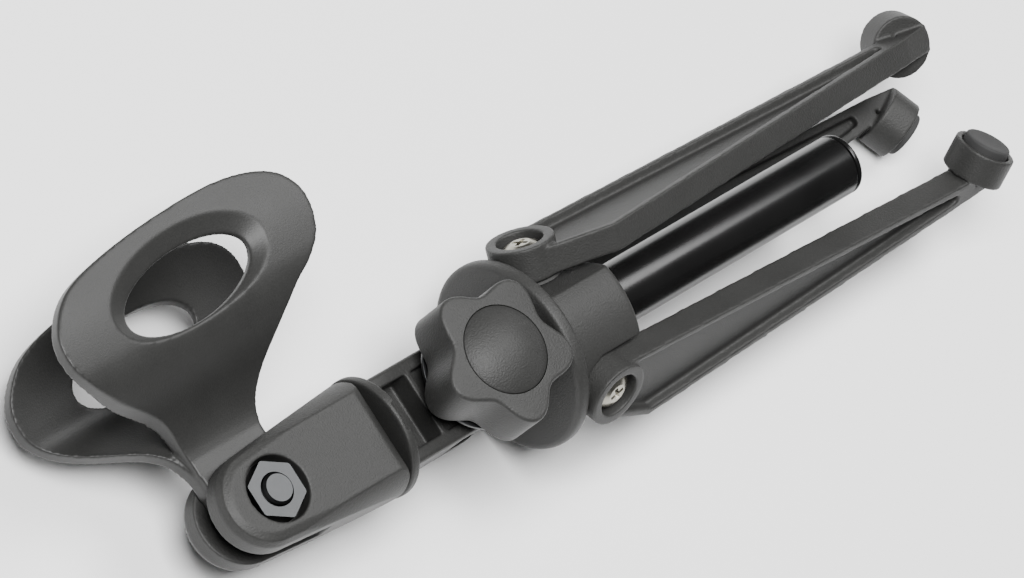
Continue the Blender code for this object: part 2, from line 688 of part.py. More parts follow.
# ---------------------------------------------------------------- microphone clip
def jaw_path():
    """Middle of the upper jaw's wall, seen along the microphone: (height, offset) points."""
    root = CLIP_TONGUE_HALF - CLIP_WALL / 2
    foot = CLIP_FORK_HEIGHT - 6.5 * MM
    knots = [
        ((foot - 4 * MM, root), (foot, root)),
        ((foot, root), (JAW_HEIGHT - 4 * MM, JAW_SPREAD)),
        ((JAW_HEIGHT - 4 * MM, JAW_SPREAD), (JAW_HEIGHT + 18 * MM, JAW_SPREAD - 3.2 * MM)),
    ]
    points = [knots[0][0]]
    for (x0, y0), (x1, y1) in knots:
        step = (x1 - x0) * 0.42
        for i in range(1, 9):
            t = i / 8
            weights = ((1 - t) ** 3, 3 * t * (1 - t) ** 2, 3 * t**2 * (1 - t), t**3)
            xs = (x0, x0 + step, x1 - step, x1)
            slope_end = (y1 - y0) / (x1 - x0) if y1 < y0 else 0
            ys = (y0, y0, y1 - slope_end * step, y1)
            points.append((sum(w * x for w, x in zip(weights, xs)), sum(w * y for w, y in zip(weights, ys))))
    return points


def lean(height):
    """How far the clip's middle stands out of the arm's middle plane."""
    clear_of_base = BASE_LENGTH - BOLT_PLACE + GAP
    return max(0.0, height - clear_of_base) * math.tan(CLIP_LEAN)


def jaw_outline(half_length):
    """The jaw seen from its side: an egg that stands askew on the stem."""
    egg = [
        (0.60, -1.06), (0.78, -0.84), (0.93, -0.54), (1.0, 0.0), (0.89, 0.46), (0.58, 0.76),
        (0.12, 0.87), (-0.38, 0.86), (-0.74, 0.72), (-0.95, 0.34), (-1.0, -0.08), (-0.95, -0.45),
        (-0.80, -0.88),
    ]
    turn = Matrix.Rotation(JAW_TURN, 2)
    middle = Vector((JAW_OFFSET, JAW_HEIGHT + JAW_RISE))
    jaw = [middle + turn @ Vector((x * half_length, y * JAW_HALF_HEIGHT)) for x, y in egg]
    neck = CLIP_STEM_HALF + 3.2 * MM
    low = CLIP_FORK_HEIGHT - 8 * MM
    stem = [(-neck, CLIP_FORK_HEIGHT), (-CLIP_STEM_HALF, low), (-CLIP_STEM_HALF, 0)]
    return [tuple(point) for point in jaw] + stem + [(-x, y) for x, y in reversed(stem)]


def jaw_hole(offset, drop):
    """An oval that widens outwards through the jaw's wall."""
    bm = bmesh.new()
    middle = (JAW_OFFSET, JAW_HEIGHT - drop, offset)
    rings = []
    levels = ((-2.0, 0.0), (-0.5, 0.0), (0.5, 1.0), (2.0, 2.5))
    for level, widen in levels:
        grow = widen * HOLE_BEVEL
        size = Matrix.Diagonal((HOLE_HALF_LENGTH + grow, HOLE_HALF_HEIGHT + grow, 1, 1))
        turn = Matrix.Rotation(JAW_TURN, 4, "Z")
        place = Matrix.Translation((0, 0, level * CLIP_WALL)) @ Matrix.Translation(middle) @ turn @ size
        made = bmesh.ops.create_circle(bm, cap_ends=False, radius=1, segments=40, matrix=place)
        rings.append([edge for edge in {e for v in made["verts"] for e in v.link_edges}])
    for low, high in zip(rings, rings[1:]):
        bmesh.ops.bridge_loops(bm, edges=low + high)
    bmesh.ops.holes_fill(bm, edges=bm.edges, sides=0)
    bmesh.ops.recalc_face_normals(bm, faces=bm.faces)
    return mesh_from(bm, "hole")


def jaw_mesh(side):
    bm = bmesh.new()
    drop = REAR_JAW_DROP if side < 0 else 0.0
    width = JAW_HALF_LENGTH + JAW_OFFSET + 2 * MM
    path = [(height - drop, lean(height - drop) + side * offset) for height, offset in jaw_path()]
    rows = [[bm.verts.new((x, height, offset)) for height, offset in path] for x in (-width, width)]
    for i in range(len(path) - 1):
        bm.faces.new((rows[0][i], rows[1][i], rows[1][i + 1], rows[0][i + 1]))
    jaw = piece("jaw", mesh_from(bm, "jaw"), plastic, None)
    wall = jaw.modifiers.new("wall", "SOLIDIFY")
    wall.thickness = CLIP_WALL
    wall.offset = 0
    half_length = REAR_JAW_HALF_LENGTH if side < 0 else JAW_HALF_LENGTH
    outline = plate(jaw_outline(half_length), -3 * JAW_SPREAD, 3 * JAW_SPREAD, smooth=True)
    trim(jaw, outline, Matrix.Translation((0, -drop, 0)))
    middle = lean(JAW_HEIGHT - drop) * side + JAW_SPREAD
    hole = jaw_hole(middle, drop)
    hole.transform(Matrix.Diagonal((1, 1, side, 1)))
    if side < 0:
        hole.flip_normals()
    cut(jaw, hole)
    return evaluated_mesh(jaw)


def build_clip(parent):
    top = CLIP_FORK_HEIGHT - 7 * MM
    stem = arc((0, 0), CLIP_TONGUE_RADIUS, 180, 360, 18)
    stem += [(CLIP_TONGUE_RADIUS, top), (-CLIP_TONGUE_RADIUS, top)]
    turn = Matrix.Rotation(CLIP_TURN, 4, "Z")
    clip = piece("mic_clip", plate(stem, -CLIP_TONGUE_HALF, CLIP_TONGUE_HALF), clip_plastic, parent, turn)
    join(clip, jaw_mesh(1))
    join(clip, jaw_mesh(-1))
    cut(clip, rod(BOLT_RADIUS + GAP, -BASE_RADIUS, BASE_RADIUS))


# ---------------------------------------------------------------- whole object
def set_on_floor(root):
    """Moves the whole object so that its box stands centred on the origin."""
    bpy.context.view_layer.update()
    graph = bpy.context.evaluated_depsgraph_get()
    corners = []
    for thing in parts.objects:
        if thing.type != "MESH":
            continue
        done = thing.evaluated_get(graph)
        mesh = done.to_mesh()
        corners += [done.matrix_world @ vertex.co for vertex in mesh.vertices]
        done.to_mesh_clear()
    low = Vector(min(corner[i] for corner in corners) for i in range(3))
    high = Vector(max(corner[i] for corner in corners) for i in range(3))
    root.location = (-(low.x + high.x) / 2, -(low.y + high.y) / 2, -low.z)


clear_scene()
parts = new_collection("microphone_tripod")
cutters = new_collection("cutters", hidden=True)

plastic = finish_of("textured_black_plastic", (0.055, 0.055, 0.053), 0.55)
clip_plastic = finish_of("satin_black_plastic", (0.05, 0.05, 0.048), 0.48)
gloss_black = finish_of("gloss_black_paint", (0.006, 0.006, 0.006), 0.12)
steel = finish_of("black_oxide_steel", (0.045, 0.046, 0.047), 0.35, 1.0)
nickel = finish_of("nickel_plate", (0.62, 0.59, 0.52), 0.3, 1.0)
brass = finish_of("brass", (0.72, 0.53, 0.25), 0.3, 1.0)
rubber = finish_of("rubber", (0.018, 0.018, 0.018), 0.85)
nylon = finish_of("nylon", (0.05, 0.05, 0.049), 0.5)
bush_grey = finish_of("acetal", (0.2, 0.2, 0.2), 0.45)

stand = empty("stand")
column = empty("column_slide", stand)
arm_tilt = empty("arm_tilt", column)
knob_turn = empty("knob_turn", arm_tilt)
base_swivel = empty("base_swivel", arm_tilt, Matrix.Translation((-ARM_LENGTH, 0, 0)))
clip_tilt = empty("clip_tilt", base_swivel, Matrix.Translation((-BOLT_PLACE, 0, 0)))

build_column(column)
build_hub(stand)
build_legs(stand)
build_arm(arm_tilt)
build_knob(knob_turn)
build_clip_base(base_swivel)
build_clip(clip_tilt)
set_on_floor(stand)
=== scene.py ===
"""Folding microphone tripod: pieces, finishes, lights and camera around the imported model."""

import json
import math

import bmesh
import bpy
from bpy.props import FloatProperty, FloatVectorProperty, IntProperty, PointerProperty
from mathutils import Matrix, Vector


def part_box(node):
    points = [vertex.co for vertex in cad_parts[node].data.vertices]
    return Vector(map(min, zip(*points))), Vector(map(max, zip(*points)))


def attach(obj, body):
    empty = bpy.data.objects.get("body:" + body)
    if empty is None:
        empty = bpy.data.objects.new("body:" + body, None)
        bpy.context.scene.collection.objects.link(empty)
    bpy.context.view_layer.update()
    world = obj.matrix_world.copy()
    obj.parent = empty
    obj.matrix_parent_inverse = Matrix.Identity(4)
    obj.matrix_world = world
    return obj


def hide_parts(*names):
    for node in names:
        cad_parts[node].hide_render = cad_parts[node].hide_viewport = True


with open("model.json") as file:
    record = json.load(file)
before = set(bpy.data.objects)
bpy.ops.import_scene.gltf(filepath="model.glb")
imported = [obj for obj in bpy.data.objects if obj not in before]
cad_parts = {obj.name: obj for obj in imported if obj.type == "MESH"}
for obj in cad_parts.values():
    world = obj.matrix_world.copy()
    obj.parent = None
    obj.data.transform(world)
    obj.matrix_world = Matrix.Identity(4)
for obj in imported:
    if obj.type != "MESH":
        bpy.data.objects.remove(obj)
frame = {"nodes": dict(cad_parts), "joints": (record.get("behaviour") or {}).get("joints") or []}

bl_info = {
    "name": "Microphone Tripod",
    "version": (1, 0, 0),
    "blender": (4, 5, 0),
    "location": "3D View > Sidebar > Tripod",
    "description": "Builds the finished pieces of a folding tabletop microphone tripod",
    "category": "Object",
}

MM = 0.001
GAP = 0.3 * MM  # clearance between pieces
OVERRUN = 2 * MM  # how far a cutter reaches past what it cuts
TUBE_SEAT = 2 * MM  # how far the tube's end stops short of its head's back
NOISE_ROUGHNESS = 0.55
MIX_FIRST, MIX_SECOND, MIX_RESULT = 6, 7, 2  # colour sockets of a Mix node
LEG_ANGLES = {"a": -60, "b": 60, "c": 180}
FOLDED_STOP = -4.0  # degrees, past folded
ALONG_X = Matrix.Rotation(math.radians(90), 4, "Y")
UPRIGHT = Matrix.Identity(4)
HIDDEN_HARDWARE = {
    "arm_stud": "black_oxide_steel",
    "clamp_bolt": "black_oxide_steel",
    "head_pin": "black_oxide_steel",
    "knob_insert": "brass",
    "thread_insert": "brass",
    "column_bush": "acetal",
    "friction_washer_front": "nylon",
    "friction_washer_rear": "nylon",
    "leg_washer_a": "nylon",
    "leg_washer_b": "nylon",
    "leg_washer_c": "nylon",
}


def middle_of(node):
    """Middle of a node's box."""
    low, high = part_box(node)
    return (low + high) / 2


CENTRE = Vector((middle_of("clamp_bolt").x, middle_of("clamp_bolt").y, middle_of("centre_tube").z))


# ---------------------------------------------------------------- sizes
def length(name, size, description):
    """A length property, its default given in millimetres."""
    return FloatProperty(
        name=name, description=description, default=size * MM, unit="LENGTH", precision=5
    )


def degrees(name, size, description):
    """An angle property, its default given in degrees."""
    return FloatProperty(
        name=name, description=description, default=math.radians(size), subtype="ANGLE"
    )


def colour(name, value, description):
    """A colour property."""
    return FloatVectorProperty(
        name=name, description=description, default=value, subtype="COLOR", min=0.0, max=1.0
    )


class ColumnSizes(bpy.types.PropertyGroup):
    tube_radius: length("Tube radius", 6.0, "Outside radius of the centre tube")
    tube_wall: length("Tube wall", 1.0, "Wall of the centre tube")
    tube_end: length("Tube end", 104.8, "From the clamp screw to the tube's free end")
    plug_cap: length("Plug cap", 1.4, "Height of the tube plug that shows")
    head_radius: length("Head radius", 9.7, "Radius of the column head")
    head_length: length("Head length", 5.2, "Length of the column head's collar")
    tongue_half: length("Tongue half", 3.0, "Half the tongue's thickness")
    tongue_radius: length("Tongue radius", 8.2, "Radius of the tongue's round end")
    tongue_neck: length("Tongue neck", 4.0, "Half the tongue's width where it meets the head")


class HubSizes(bpy.types.PropertyGroup):
    face: length("Flange face", 14.8, "From the clamp screw to the flange")
    flange_radius: length("Flange radius", 18.4, "Radius of the round flange")
    flange_thickness: length("Flange thickness", 3.0, "Thickness of the flange")
    flange_round: length("Flange rounding", 1.3, "Rounding of the flange's rim")
    radius: length("Block radius", 16.4, "Radius of the block behind the flange")
    length: length("Length", 18.9, "Flange and block together")
    bush_seat: length("Bush seat", 8.1, "Radius of the bush's seat")
    hinge_setback: length("Hinge setback", 9.7, "From the flange's face to the leg screws")
    leg_flat: length("Leg flat", 11.6, "From the tube's axis to a leg's flat")


class LegSizes(bpy.types.PropertyGroup):
    thickness: length("Thickness", 5.6, "Thickness of the bar")
    length: length("Length", 107.0, "From the hinge to the middle of the foot")
    opening: degrees("Opening", 66.0, "Angle between folded and open")
    knuckle_rise: length("Knuckle rise", 1.0, "Height of the knuckle above the bar")
    shoulder: length("Shoulder", 12.2, "Reach of the shoulder from the hinge")
    foot_width: length("Width at foot", 4.8, "Width of the bar where it meets the foot")
    inward: length("Inward lean", 2.5, "How far a folded leg leans towards the tube")
    bar_offset: length("Bar offset", 3.6, "The bar meets the foot this far from its middle")
    edge: length("Edge", 1.5, "Width of the I section's edges")
    web: length("Web", 1.8, "Thickness of the I section's web")
    washer: length("Washer", 0.5, "Thickness of the leg washer")
    screw_radius: length("Screw radius", 2.0, "Radius of the leg screw")
    head_radius: length("Screw head radius", 3.5, "Radius of the screw's head")
    head_height: length("Screw head height", 1.7, "Height of the screw's head")
    recess_radius: length("Screw recess radius", 4.4, "Radius of the recess round the screw's head")
    recess_depth: length("Screw recess depth", 2.6, "Depth of the recess")
    screw_length: length("Screw length", 8.0, "Length under the head")
    foot_radius: length("Foot radius", 6.1, "Radius of the round foot")
    foot_height: length("Foot height", 6.0, "Height of the round foot")
    pad_radius: length("Pad radius", 4.6, "Radius of the rubber pad")
    pad_proud: length("Pad proud", 1.4, "How far the pad stands out of the foot")
    pad_recess: length("Pad recess", 2.0, "Depth of the pad's seat")


class ArmSizes(bpy.types.PropertyGroup):
    length: length("Length", 20.6, "From the clamp screw to the collar's face")
    half_width: length("Half width", 8.8, "Half the arm's width")
    half_depth: length("Half depth", 7.0, "Half the arm's depth")
    side_wall: length("Side wall", 2.6, "Wall beside the pockets")
    web: length("Web", 3.0, "Thickness between the pockets")
    rib_place: length("Rib place", 10.2, "From the clamp screw to the rib")
    rib_width: length("Rib width", 1.4, "Width of the rib")
    collar_radius: length("Collar radius", 11.7, "Radius of the collar")
    collar_thickness: length("Collar thickness", 1.9, "Thickness of the collar")
    boss_radius: length("Boss radius", 7.2, "Radius of the clamp screw's boss")
    boss_face: length("Boss face", 9.8, "From the tube's axis to the boss's face")
    notch: length("Notch", 5.6, "Width of the notch in the collar")
    washer_radius: length("Washer radius", 10.9, "Radius of the clamp washer")
    washer: length("Washer", 0.8, "Thickness of the clamp washer")
    bolt_radius: length("Bolt radius", 3.0, "Radius of the clamp bolt")
    nut_flats: length("Across flats", 10.0, "Size of an M6 hexagon across its flats")
    nut_recess: length("Hexagon seat", 4.0, "Depth of the bolt head's seat")


class KnobSizes(bpy.types.PropertyGroup):
    radius: length("Radius", 14.0, "Radius at the lobes")
    valley: length("Valley", 10.5, "Radius between the lobes")
    lobes: IntProperty(name="Lobes", description="Number of lobes", default=5, min=3, max=12)
    turn: degrees("Turn", 44.6, "Angle of the first lobe")
    height: length("Height", 10.4, "Height of the knob")
    rim: length("Rim", 0.7, "Rounding of the rim")
    cap_radius: length("Cap radius", 8.3, "Radius of the domed cap")
    cap_dome: length("Cap dome", 2.6, "Height of the cap's dome")
    cap_seat: length("Cap seat", 1.6, "Depth of the cap's seat")
    insert_radius: length("Insert radius", 5.0, "Radius of the brass insert")


class BaseSizes(bpy.types.PropertyGroup):
    length: length("Length", 38.4, "From the arm's face to the rounded end")
    radius: length("Radius", 11.5, "Radius at the arm")
    half_depth: length("Half depth", 8.3, "From the middle to each flat")
    end_radius: length("End radius", 9.0, "Radius of the rounded end")
    chamfer: length("Chamfer", 2.2, "Width of the bevelled band")
    stud_radius: length("Stud radius", 4.8, "Radius of the stand thread")
    stud_length: length("Stud length", 10.5, "Length of the stand thread")
    stud_wall: length("Insert wall", 1.3, "Wall of the thread insert")
    bolt_place: length("Bolt place", 26.7, "From the arm's face to the clip's bolt")
    nut_height: length("Nut height", 3.2, "Height of the nut")
    recess_radius: length("Nut recess radius", 6.2, "Radius of the recess round the nut")
    recess_depth: length("Nut recess depth", 4.0, "Depth of the recess")


class ClipSizes(bpy.types.PropertyGroup):
    tongue_half: length("Tongue half", 2.2, "Half the tongue's thickness")
    tongue_radius: length("Tongue radius", 8.2, "Radius of the tongue's round end")
    stem_half: length("Stem half", 8.4, "Half the stem's width")
    lean: degrees("Lean", 9.5, "Lean of the stem towards the knob's side")
    turn: degrees("Turn", 0.4, "Turn of the clip about its bolt")
    wall: length("Wall", 3.0, "Thickness of the jaws")
    fork_height: length("Fork height", 19.5, "Height at which the jaws part")
    jaw_height: length("Jaw height", 37.6, "Height of the jaws' holes")
    jaw_offset: length("Jaw offset", 0.9, "Jaws' middle ahead of the stem")
    jaw_turn: degrees("Jaw turn", 5.5, "Angle that the jaws stand askew")
    jaw_rise: length("Jaw rise", 1.9, "Jaws' outline above their holes")
    rear_drop: length("Rear drop", 3.4, "How much lower the rear jaw stands")
    half_length: length("Half length", 30.2, "Half the front jaw's length")
    rear_half_length: length("Rear half length", 28.6, "Half the rear jaw's length")
    half_height: length("Half height", 12.6, "Half the jaws' height")
    spread: length("Spread", 13.6, "From the clip's middle to a jaw's wall")
    hole_half_length: length("Hole half length", 15.0, "Half the oval hole's length")
    hole_half_height: length("Hole half height", 6.4, "Half the oval hole's height")
    hole_bevel: length("Hole bevel", 3.6, "Width of the oval hole's bevel")


class Finishes(bpy.types.PropertyGroup):
    plastic: colour("Textured plastic", (0.021, 0.021, 0.0202), "Hub, legs, arm, knob and base")
    satin: colour("Satin plastic", (0.020, 0.020, 0.0193), "Moulded plastic of the clip")
    gloss: colour("Gloss paint", (0.004, 0.004, 0.004), "Paint of the centre tube")
    oxide: colour("Black oxide", (0.040, 0.041, 0.042), "Blackened steel of nut and bolt")
    nickel: colour("Nickel", (0.300, 0.290, 0.250), "Plating of the leg screws")
    brass: colour("Brass", (0.72, 0.53, 0.25), "Threaded inserts")
    rubber: colour("Rubber", (0.016, 0.016, 0.016), "Foot pads")
    nylon: colour("Nylon", (0.045, 0.045, 0.044), "Washers")
    acetal: colour("Acetal", (0.20, 0.20, 0.20), "Bush in the hub")


class StageSettings(bpy.types.PropertyGroup):
    azimuth: degrees("Azimuth", 186.06, "Direction of the camera, from +X towards +Y")
    elevation: degrees("Elevation", 53.3, "Height of the camera")
    roll: degrees("Roll", 52.5, "Turn of the camera about its view")
    distance: length("Distance", 1111.0, "From the camera to the target")
    target: FloatVectorProperty(
        name="Target", description="Middle of the view, from the clamp screw on the tube's axis",
        default=(15.3 * MM, 9.4 * MM, 12.1 * MM), unit="LENGTH",
    )
    lens: FloatProperty(name="Lens", description="Focal length in millimetres", default=218.8)
    floor_size: length("Floor size", 6000.0, "Side of the floor")


class TripodSettings(bpy.types.PropertyGroup):
    column: PointerProperty(type=ColumnSizes)
    hub: PointerProperty(type=HubSizes)
    leg: PointerProperty(type=LegSizes)
    arm: PointerProperty(type=ArmSizes)
    knob: PointerProperty(type=KnobSizes)
    base: PointerProperty(type=BaseSizes)
    clip: PointerProperty(type=ClipSizes)
    finish: PointerProperty(type=Finishes)
    stage: PointerProperty(type=StageSettings)


# ---------------------------------------------------------------- finishes
class Value:
    """A shader socket that takes part in sums."""

    def __init__(self, recipe, socket):
        self.recipe = recipe
        self.socket = socket

    def sum_of(self, operation, first, second):
        return self.recipe.node("ShaderNodeMath", {"operation": operation}, {0: first, 1: second})

    def __add__(self, other):
        return self.sum_of("ADD", self, other)

    def __radd__(self, other):
        return self.sum_of("ADD", other, self)

    def __sub__(self, other):
        return self.sum_of("SUBTRACT", self, other)

    def __rsub__(self, other):
        return self.sum_of("SUBTRACT", other, self)

    def __mul__(self, other):
        return self.sum_of("MULTIPLY", self, other)

    def __rmul__(self, other):
        return self.sum_of("MULTIPLY", other, self)


class Recipe:
    """A material under construction, around one Principled BSDF."""

    def __init__(self, name):
        self.material = bpy.data.materials.new(name)
        self.material.use_nodes = True
        self.tree = self.material.node_tree
        self.shader = self.tree.nodes["Principled BSDF"]

    def node(self, kind, settings=None, inputs=None, output=0):
        made = self.tree.nodes.new(kind)
        for name, value in (settings or {}).items():
            setattr(made, name, value)
        for name, value in (inputs or {}).items():
            self.feed(made.inputs[name], value)
        return Value(self, made.outputs[output])

    def feed(self, socket, value):
        if isinstance(value, Value):
            self.tree.links.new(value.socket, socket)
        elif hasattr(value, "__len__") and len(value) == 3 and len(socket.default_value) == 4:
            socket.default_value = (*value, 1.0)
        else:
            socket.default_value = value

    def surface(self, **values):
        for name, value in values.items():
            self.feed(self.shader.inputs[name.replace("_", " ")], value)
        return self.material

    def place(self):
        return self.node("ShaderNodeTexCoord", output="Object")

    def noise(self, size, detail=2.0):
        """Noise whose grain is about size across."""
        inputs = {"Vector": self.place(), "Scale": 1 / size, "Detail": detail}
        inputs["Roughness"] = NOISE_ROUGHNESS
        return self.node("ShaderNodeTexNoise", inputs=inputs)

    def blend(self, factor, first, second):
        settings = {"data_type": "RGBA"}
        inputs = {"Factor": factor, MIX_FIRST: first, MIX_SECOND: second}
        return self.node("ShaderNodeMix", settings, inputs, output=MIX_RESULT)

    def bump(self, height, strength, distance):
        inputs = {"Height": height, "Strength": strength, "Distance": distance}
        return self.node("ShaderNodeBump", inputs=inputs)


def shade(tone, factor):
    """A tone made darker or lighter."""
    return tuple(min(1.0, channel * factor) for channel in tone)


def moulded_plastic(tone, roughness, grain, depth):
    """Plastic with a moulded grain, a little uneven in tone."""
    recipe = Recipe("moulded_plastic")
    patches = recipe.noise(9 * MM, 3.0)
    fine = recipe.noise(grain, 2.0)
    base = recipe.blend(patches * 0.35 + fine * 0.65, shade(tone, 0.55), shade(tone, 1.5))
    rough = roughness - 0.06 + patches * 0.08 + fine * 0.06
    relief = recipe.bump(fine, 1.0, depth)
    return recipe.surface(Base_Color=base, Roughness=rough, Normal=relief, Specular_IOR_Level=0.30)


def gloss_paint(tone):
    """Smooth paint with a faint haze."""
    recipe = Recipe("gloss_paint")
    patches = recipe.noise(11 * MM, 2.0)
    haze = recipe.noise(2 * MM, 1.0)
    base = recipe.blend(patches, shade(tone, 0.8), shade(tone, 1.8))
    rough = 0.20 + patches * 0.06 + haze * 0.03
    relief = recipe.bump(recipe.noise(6 * MM, 1.0), 0.04, 0.02 * MM)
    return recipe.surface(Base_Color=base, Roughness=rough, Normal=relief, Specular_IOR_Level=0.28)


def worked_metal(tone, roughness, grain, depth, change):
    """Plated or blackened metal whose tone changes in patches."""
    recipe = Recipe("worked_metal")
    patches = recipe.noise(2.5 * MM, 4.0)
    fine = recipe.noise(grain, 3.0)
    base = recipe.blend(patches, shade(tone, 1 - change), shade(tone, 1 + change))
    rough = roughness - 0.08 + patches * 0.12 + fine * 0.06
    relief = recipe.bump(fine, 0.4, depth)
    return recipe.surface(Base_Color=base, Roughness=rough, Metallic=1.0, Normal=relief)


def soft_rubber(tone):
    """Matte rubber with a fine grain."""
    recipe = Recipe("soft_rubber")
    patches = recipe.noise(3 * MM, 3.0)
    fine = recipe.noise(0.18 * MM, 2.0)
    base = recipe.blend(patches, shade(tone, 0.8), shade(tone, 1.6))
    relief = recipe.bump(fine, 0.6, 0.04 * MM)
    return recipe.surface(Base_Color=base, Roughness=0.72 + patches * 0.16, Normal=relief)


def build_finishes(tones):
    """Every finish, by the name of its slot."""
    return {
        "textured_black_plastic": moulded_plastic(tones.plastic, 0.50, 0.34 * MM, 0.09 * MM),
        "satin_black_plastic": moulded_plastic(tones.satin, 0.44, 0.30 * MM, 0.03 * MM),
        "gloss_black_paint": gloss_paint(tones.gloss),
        "black_oxide_steel": worked_metal(tones.oxide, 0.36, 0.20 * MM, 0.010 * MM, 0.35),
        "nickel_plate": worked_metal(tones.nickel, 0.30, 0.25 * MM, 0.008 * MM, 0.2),
        "brass": worked_metal(tones.brass, 0.30, 0.30 * MM, 0.010 * MM, 0.2),
        "rubber": soft_rubber(tones.rubber),
        "nylon": moulded_plastic(tones.nylon, 0.45, 0.40 * MM, 0.008 * MM),
        "acetal": moulded_plastic(tones.acetal, 0.40, 0.40 * MM, 0.008 * MM),
    }


def finish(name):
    """The finish of a slot. The first call makes them all."""
    made = bpy.data.materials.get(name + "_finish")
    if made is None:
        for slot, material in build_finishes(sizes().finish).items():
            material.name = slot + "_finish"
        made = bpy.data.materials[name + "_finish"]
    return made


def sizes():
    """The settings that every piece reads."""
    return bpy.context.scene.microphone_tripod


# ---------------------------------------------------------------- modelling
def arc(centre, radius, start, end, steps):
    """Points of an arc in degrees, ends included."""
    turns = [math.radians(start + (end - start) * i / steps) for i in range(steps + 1)]
    return [(centre[0] + radius * math.cos(a), centre[1] + radius * math.sin(a)) for a in turns]


def rounded(points, radius, closed=False, steps=5):
    """An outline with an arc at each corner, no bigger than the sides beside it allow."""
    corners = [Vector(point) for point in points]
    count = len(corners)
    made = []
    for i, corner in enumerate(corners):
        if not closed and i in (0, count - 1):
            made.append(tuple(corner))
            continue
        back = corners[i - 1] - corner
        ahead = corners[(i + 1) % count] - corner
        turn = back.angle(ahead)
        if not math.radians(4) <= turn <= math.radians(176):
            made.append(tuple(corner))
            continue
        reach = min(radius / math.tan(turn / 2), back.length * 0.49, ahead.length * 0.49)
        first = corner + back.normalized() * reach
        last = corner + ahead.normalized() * reach
        for j in range(steps + 1):
            t = j / steps
            made.append(tuple(first * (1 - t) ** 2 + corner * 2 * t * (1 - t) + last * t**2))
    return made


def flowing(points, steps=6):
    """A closed smooth outline through the points."""
    spots = [Vector(point) for point in points]
    count = len(spots)
    made = []
    for i in range(count):
        a, b, c, d = (spots[(i + k) % count] for k in (-1, 0, 1, 2))
        for j in range(steps):
            t = j / steps
            bend = (2 * b) + (c - a) * t + (2 * a - 5 * b + 4 * c - d) * t**2
            made.append(tuple(0.5 * (bend + (3 * b - a - 3 * c + d) * t**3)))
    return made


def mesh_of(bm, name="shape"):
    """Turns a bmesh into a mesh."""
    mesh = bpy.data.meshes.new(name)
    bm.to_mesh(mesh)
    bm.free()
    return mesh


def prism(outline, low, high, bevel=0.0, segments=3):
    """A flat outline in X and Y, extruded from low to high along Z."""
    bm = bmesh.new()
    face = bm.faces.new([bm.verts.new((x, y, low)) for x, y in outline])
    made = bmesh.ops.extrude_face_region(bm, geom=[face])
    lifted = [item for item in made["geom"] if isinstance(item, bmesh.types.BMVert)]
    bmesh.ops.translate(bm, verts=lifted, vec=(0, 0, high - low))
    bmesh.ops.recalc_face_normals(bm, faces=bm.faces)
    if bevel:
        level = 0.01 * MM
        rims = [edge for edge in bm.edges if abs(edge.verts[0].co.z - edge.verts[1].co.z) < level]
        bmesh.ops.bevel(
            bm, geom=rims, offset=bevel, segments=segments, profile=0.5, affect="EDGES", material=-1
        )
    return mesh_of(bm)


def rod(radius, low, high, sides=64):
    """A cylinder about Z."""
    bm = bmesh.new()
    middle = Matrix.Translation((0, 0, (low + high) / 2))
    ends = {"radius1": radius, "radius2": radius, "depth": high - low}
    bmesh.ops.create_cone(bm, cap_ends=True, segments=sides, matrix=middle, **ends)
    return mesh_of(bm)


def box_between(low, high):
    """A box between two corners."""
    bm = bmesh.new()
    low, high = Vector(low), Vector(high)
    place = Matrix.Translation((low + high) / 2) @ Matrix.Diagonal((*(high - low), 1))
    bmesh.ops.create_cube(bm, size=1, matrix=place)
    return mesh_of(bm)


def lathed(profile, steps=96, closed=False):
    """A profile of (radius, height) points spun about Z."""
    bm = bmesh.new()
    points = [bm.verts.new((radius, 0, height)) for radius, height in profile]
    for first, second in zip(points, points[1:]):
        bm.edges.new((first, second))
    if closed:
        bm.edges.new((points[-1], points[0]))
    turn = {"cent": (0, 0, 0), "axis": (0, 0, 1), "angle": 2 * math.pi}
    everything = list(bm.verts) + list(bm.edges)
    bmesh.ops.spin(bm, geom=everything, steps=steps, use_merge=True, **turn)
    bmesh.ops.remove_doubles(bm, verts=bm.verts, dist=0.001 * MM)
    bmesh.ops.recalc_face_normals(bm, faces=bm.faces)
    return mesh_of(bm)


def corner_radius(across_flats):
    """From a hexagon's middle to its corners."""
    return across_flats / 2 / math.cos(math.pi / 6)


def hexagon(across_flats, low, high):
    """A hexagonal bar along Z."""
    return rod(corner_radius(across_flats), low, high, sides=6)


def workpiece(name, mesh, place=UPRIGHT):
    """A new object in the scene, its place in its mesh."""
    thing = bpy.data.objects.new(name, mesh)
    bpy.context.scene.collection.objects.link(thing)
    mesh.transform(place)
    return thing


def applied(thing):
    """The object with its modifiers made part of its mesh."""
    bpy.context.view_layer.update()
    graph = bpy.context.evaluated_depsgraph_get()
    mesh = bpy.data.meshes.new_from_object(thing.evaluated_get(graph))
    thing.modifiers.clear()
    old = thing.data
    thing.data = mesh
    bpy.data.meshes.remove(old)
    return thing


def combine(thing, operation, mesh, place=UPRIGHT):
    """Joins, cuts or trims a piece with a mesh."""
    tool = workpiece("tool", mesh, place)
    modifier = thing.modifiers.new("combine", "BOOLEAN")
    modifier.operation = operation
    modifier.solver = "EXACT"
    modifier.object = tool
    applied(thing)
    bpy.data.objects.remove(tool, do_unlink=True)


def cut(thing, mesh, place=UPRIGHT):
    combine(thing, "DIFFERENCE", mesh, place)


def join(thing, mesh, place=UPRIGHT):
    combine(thing, "UNION", mesh, place)


def trim(thing, mesh, place=UPRIGHT):
    combine(thing, "INTERSECT", mesh, place)


def moulded(thing, grain, passes):
    """Softens every edge as on a moulding: an even skin of this grain, then smoothed."""
    skin = thing.modifiers.new("skin", "REMESH")
    skin.mode = "VOXEL"
    skin.voxel_size = grain
    soften = thing.modifiers.new("soften", "SMOOTH")
    soften.factor = 0.5
    soften.iterations = passes
    applied(thing)


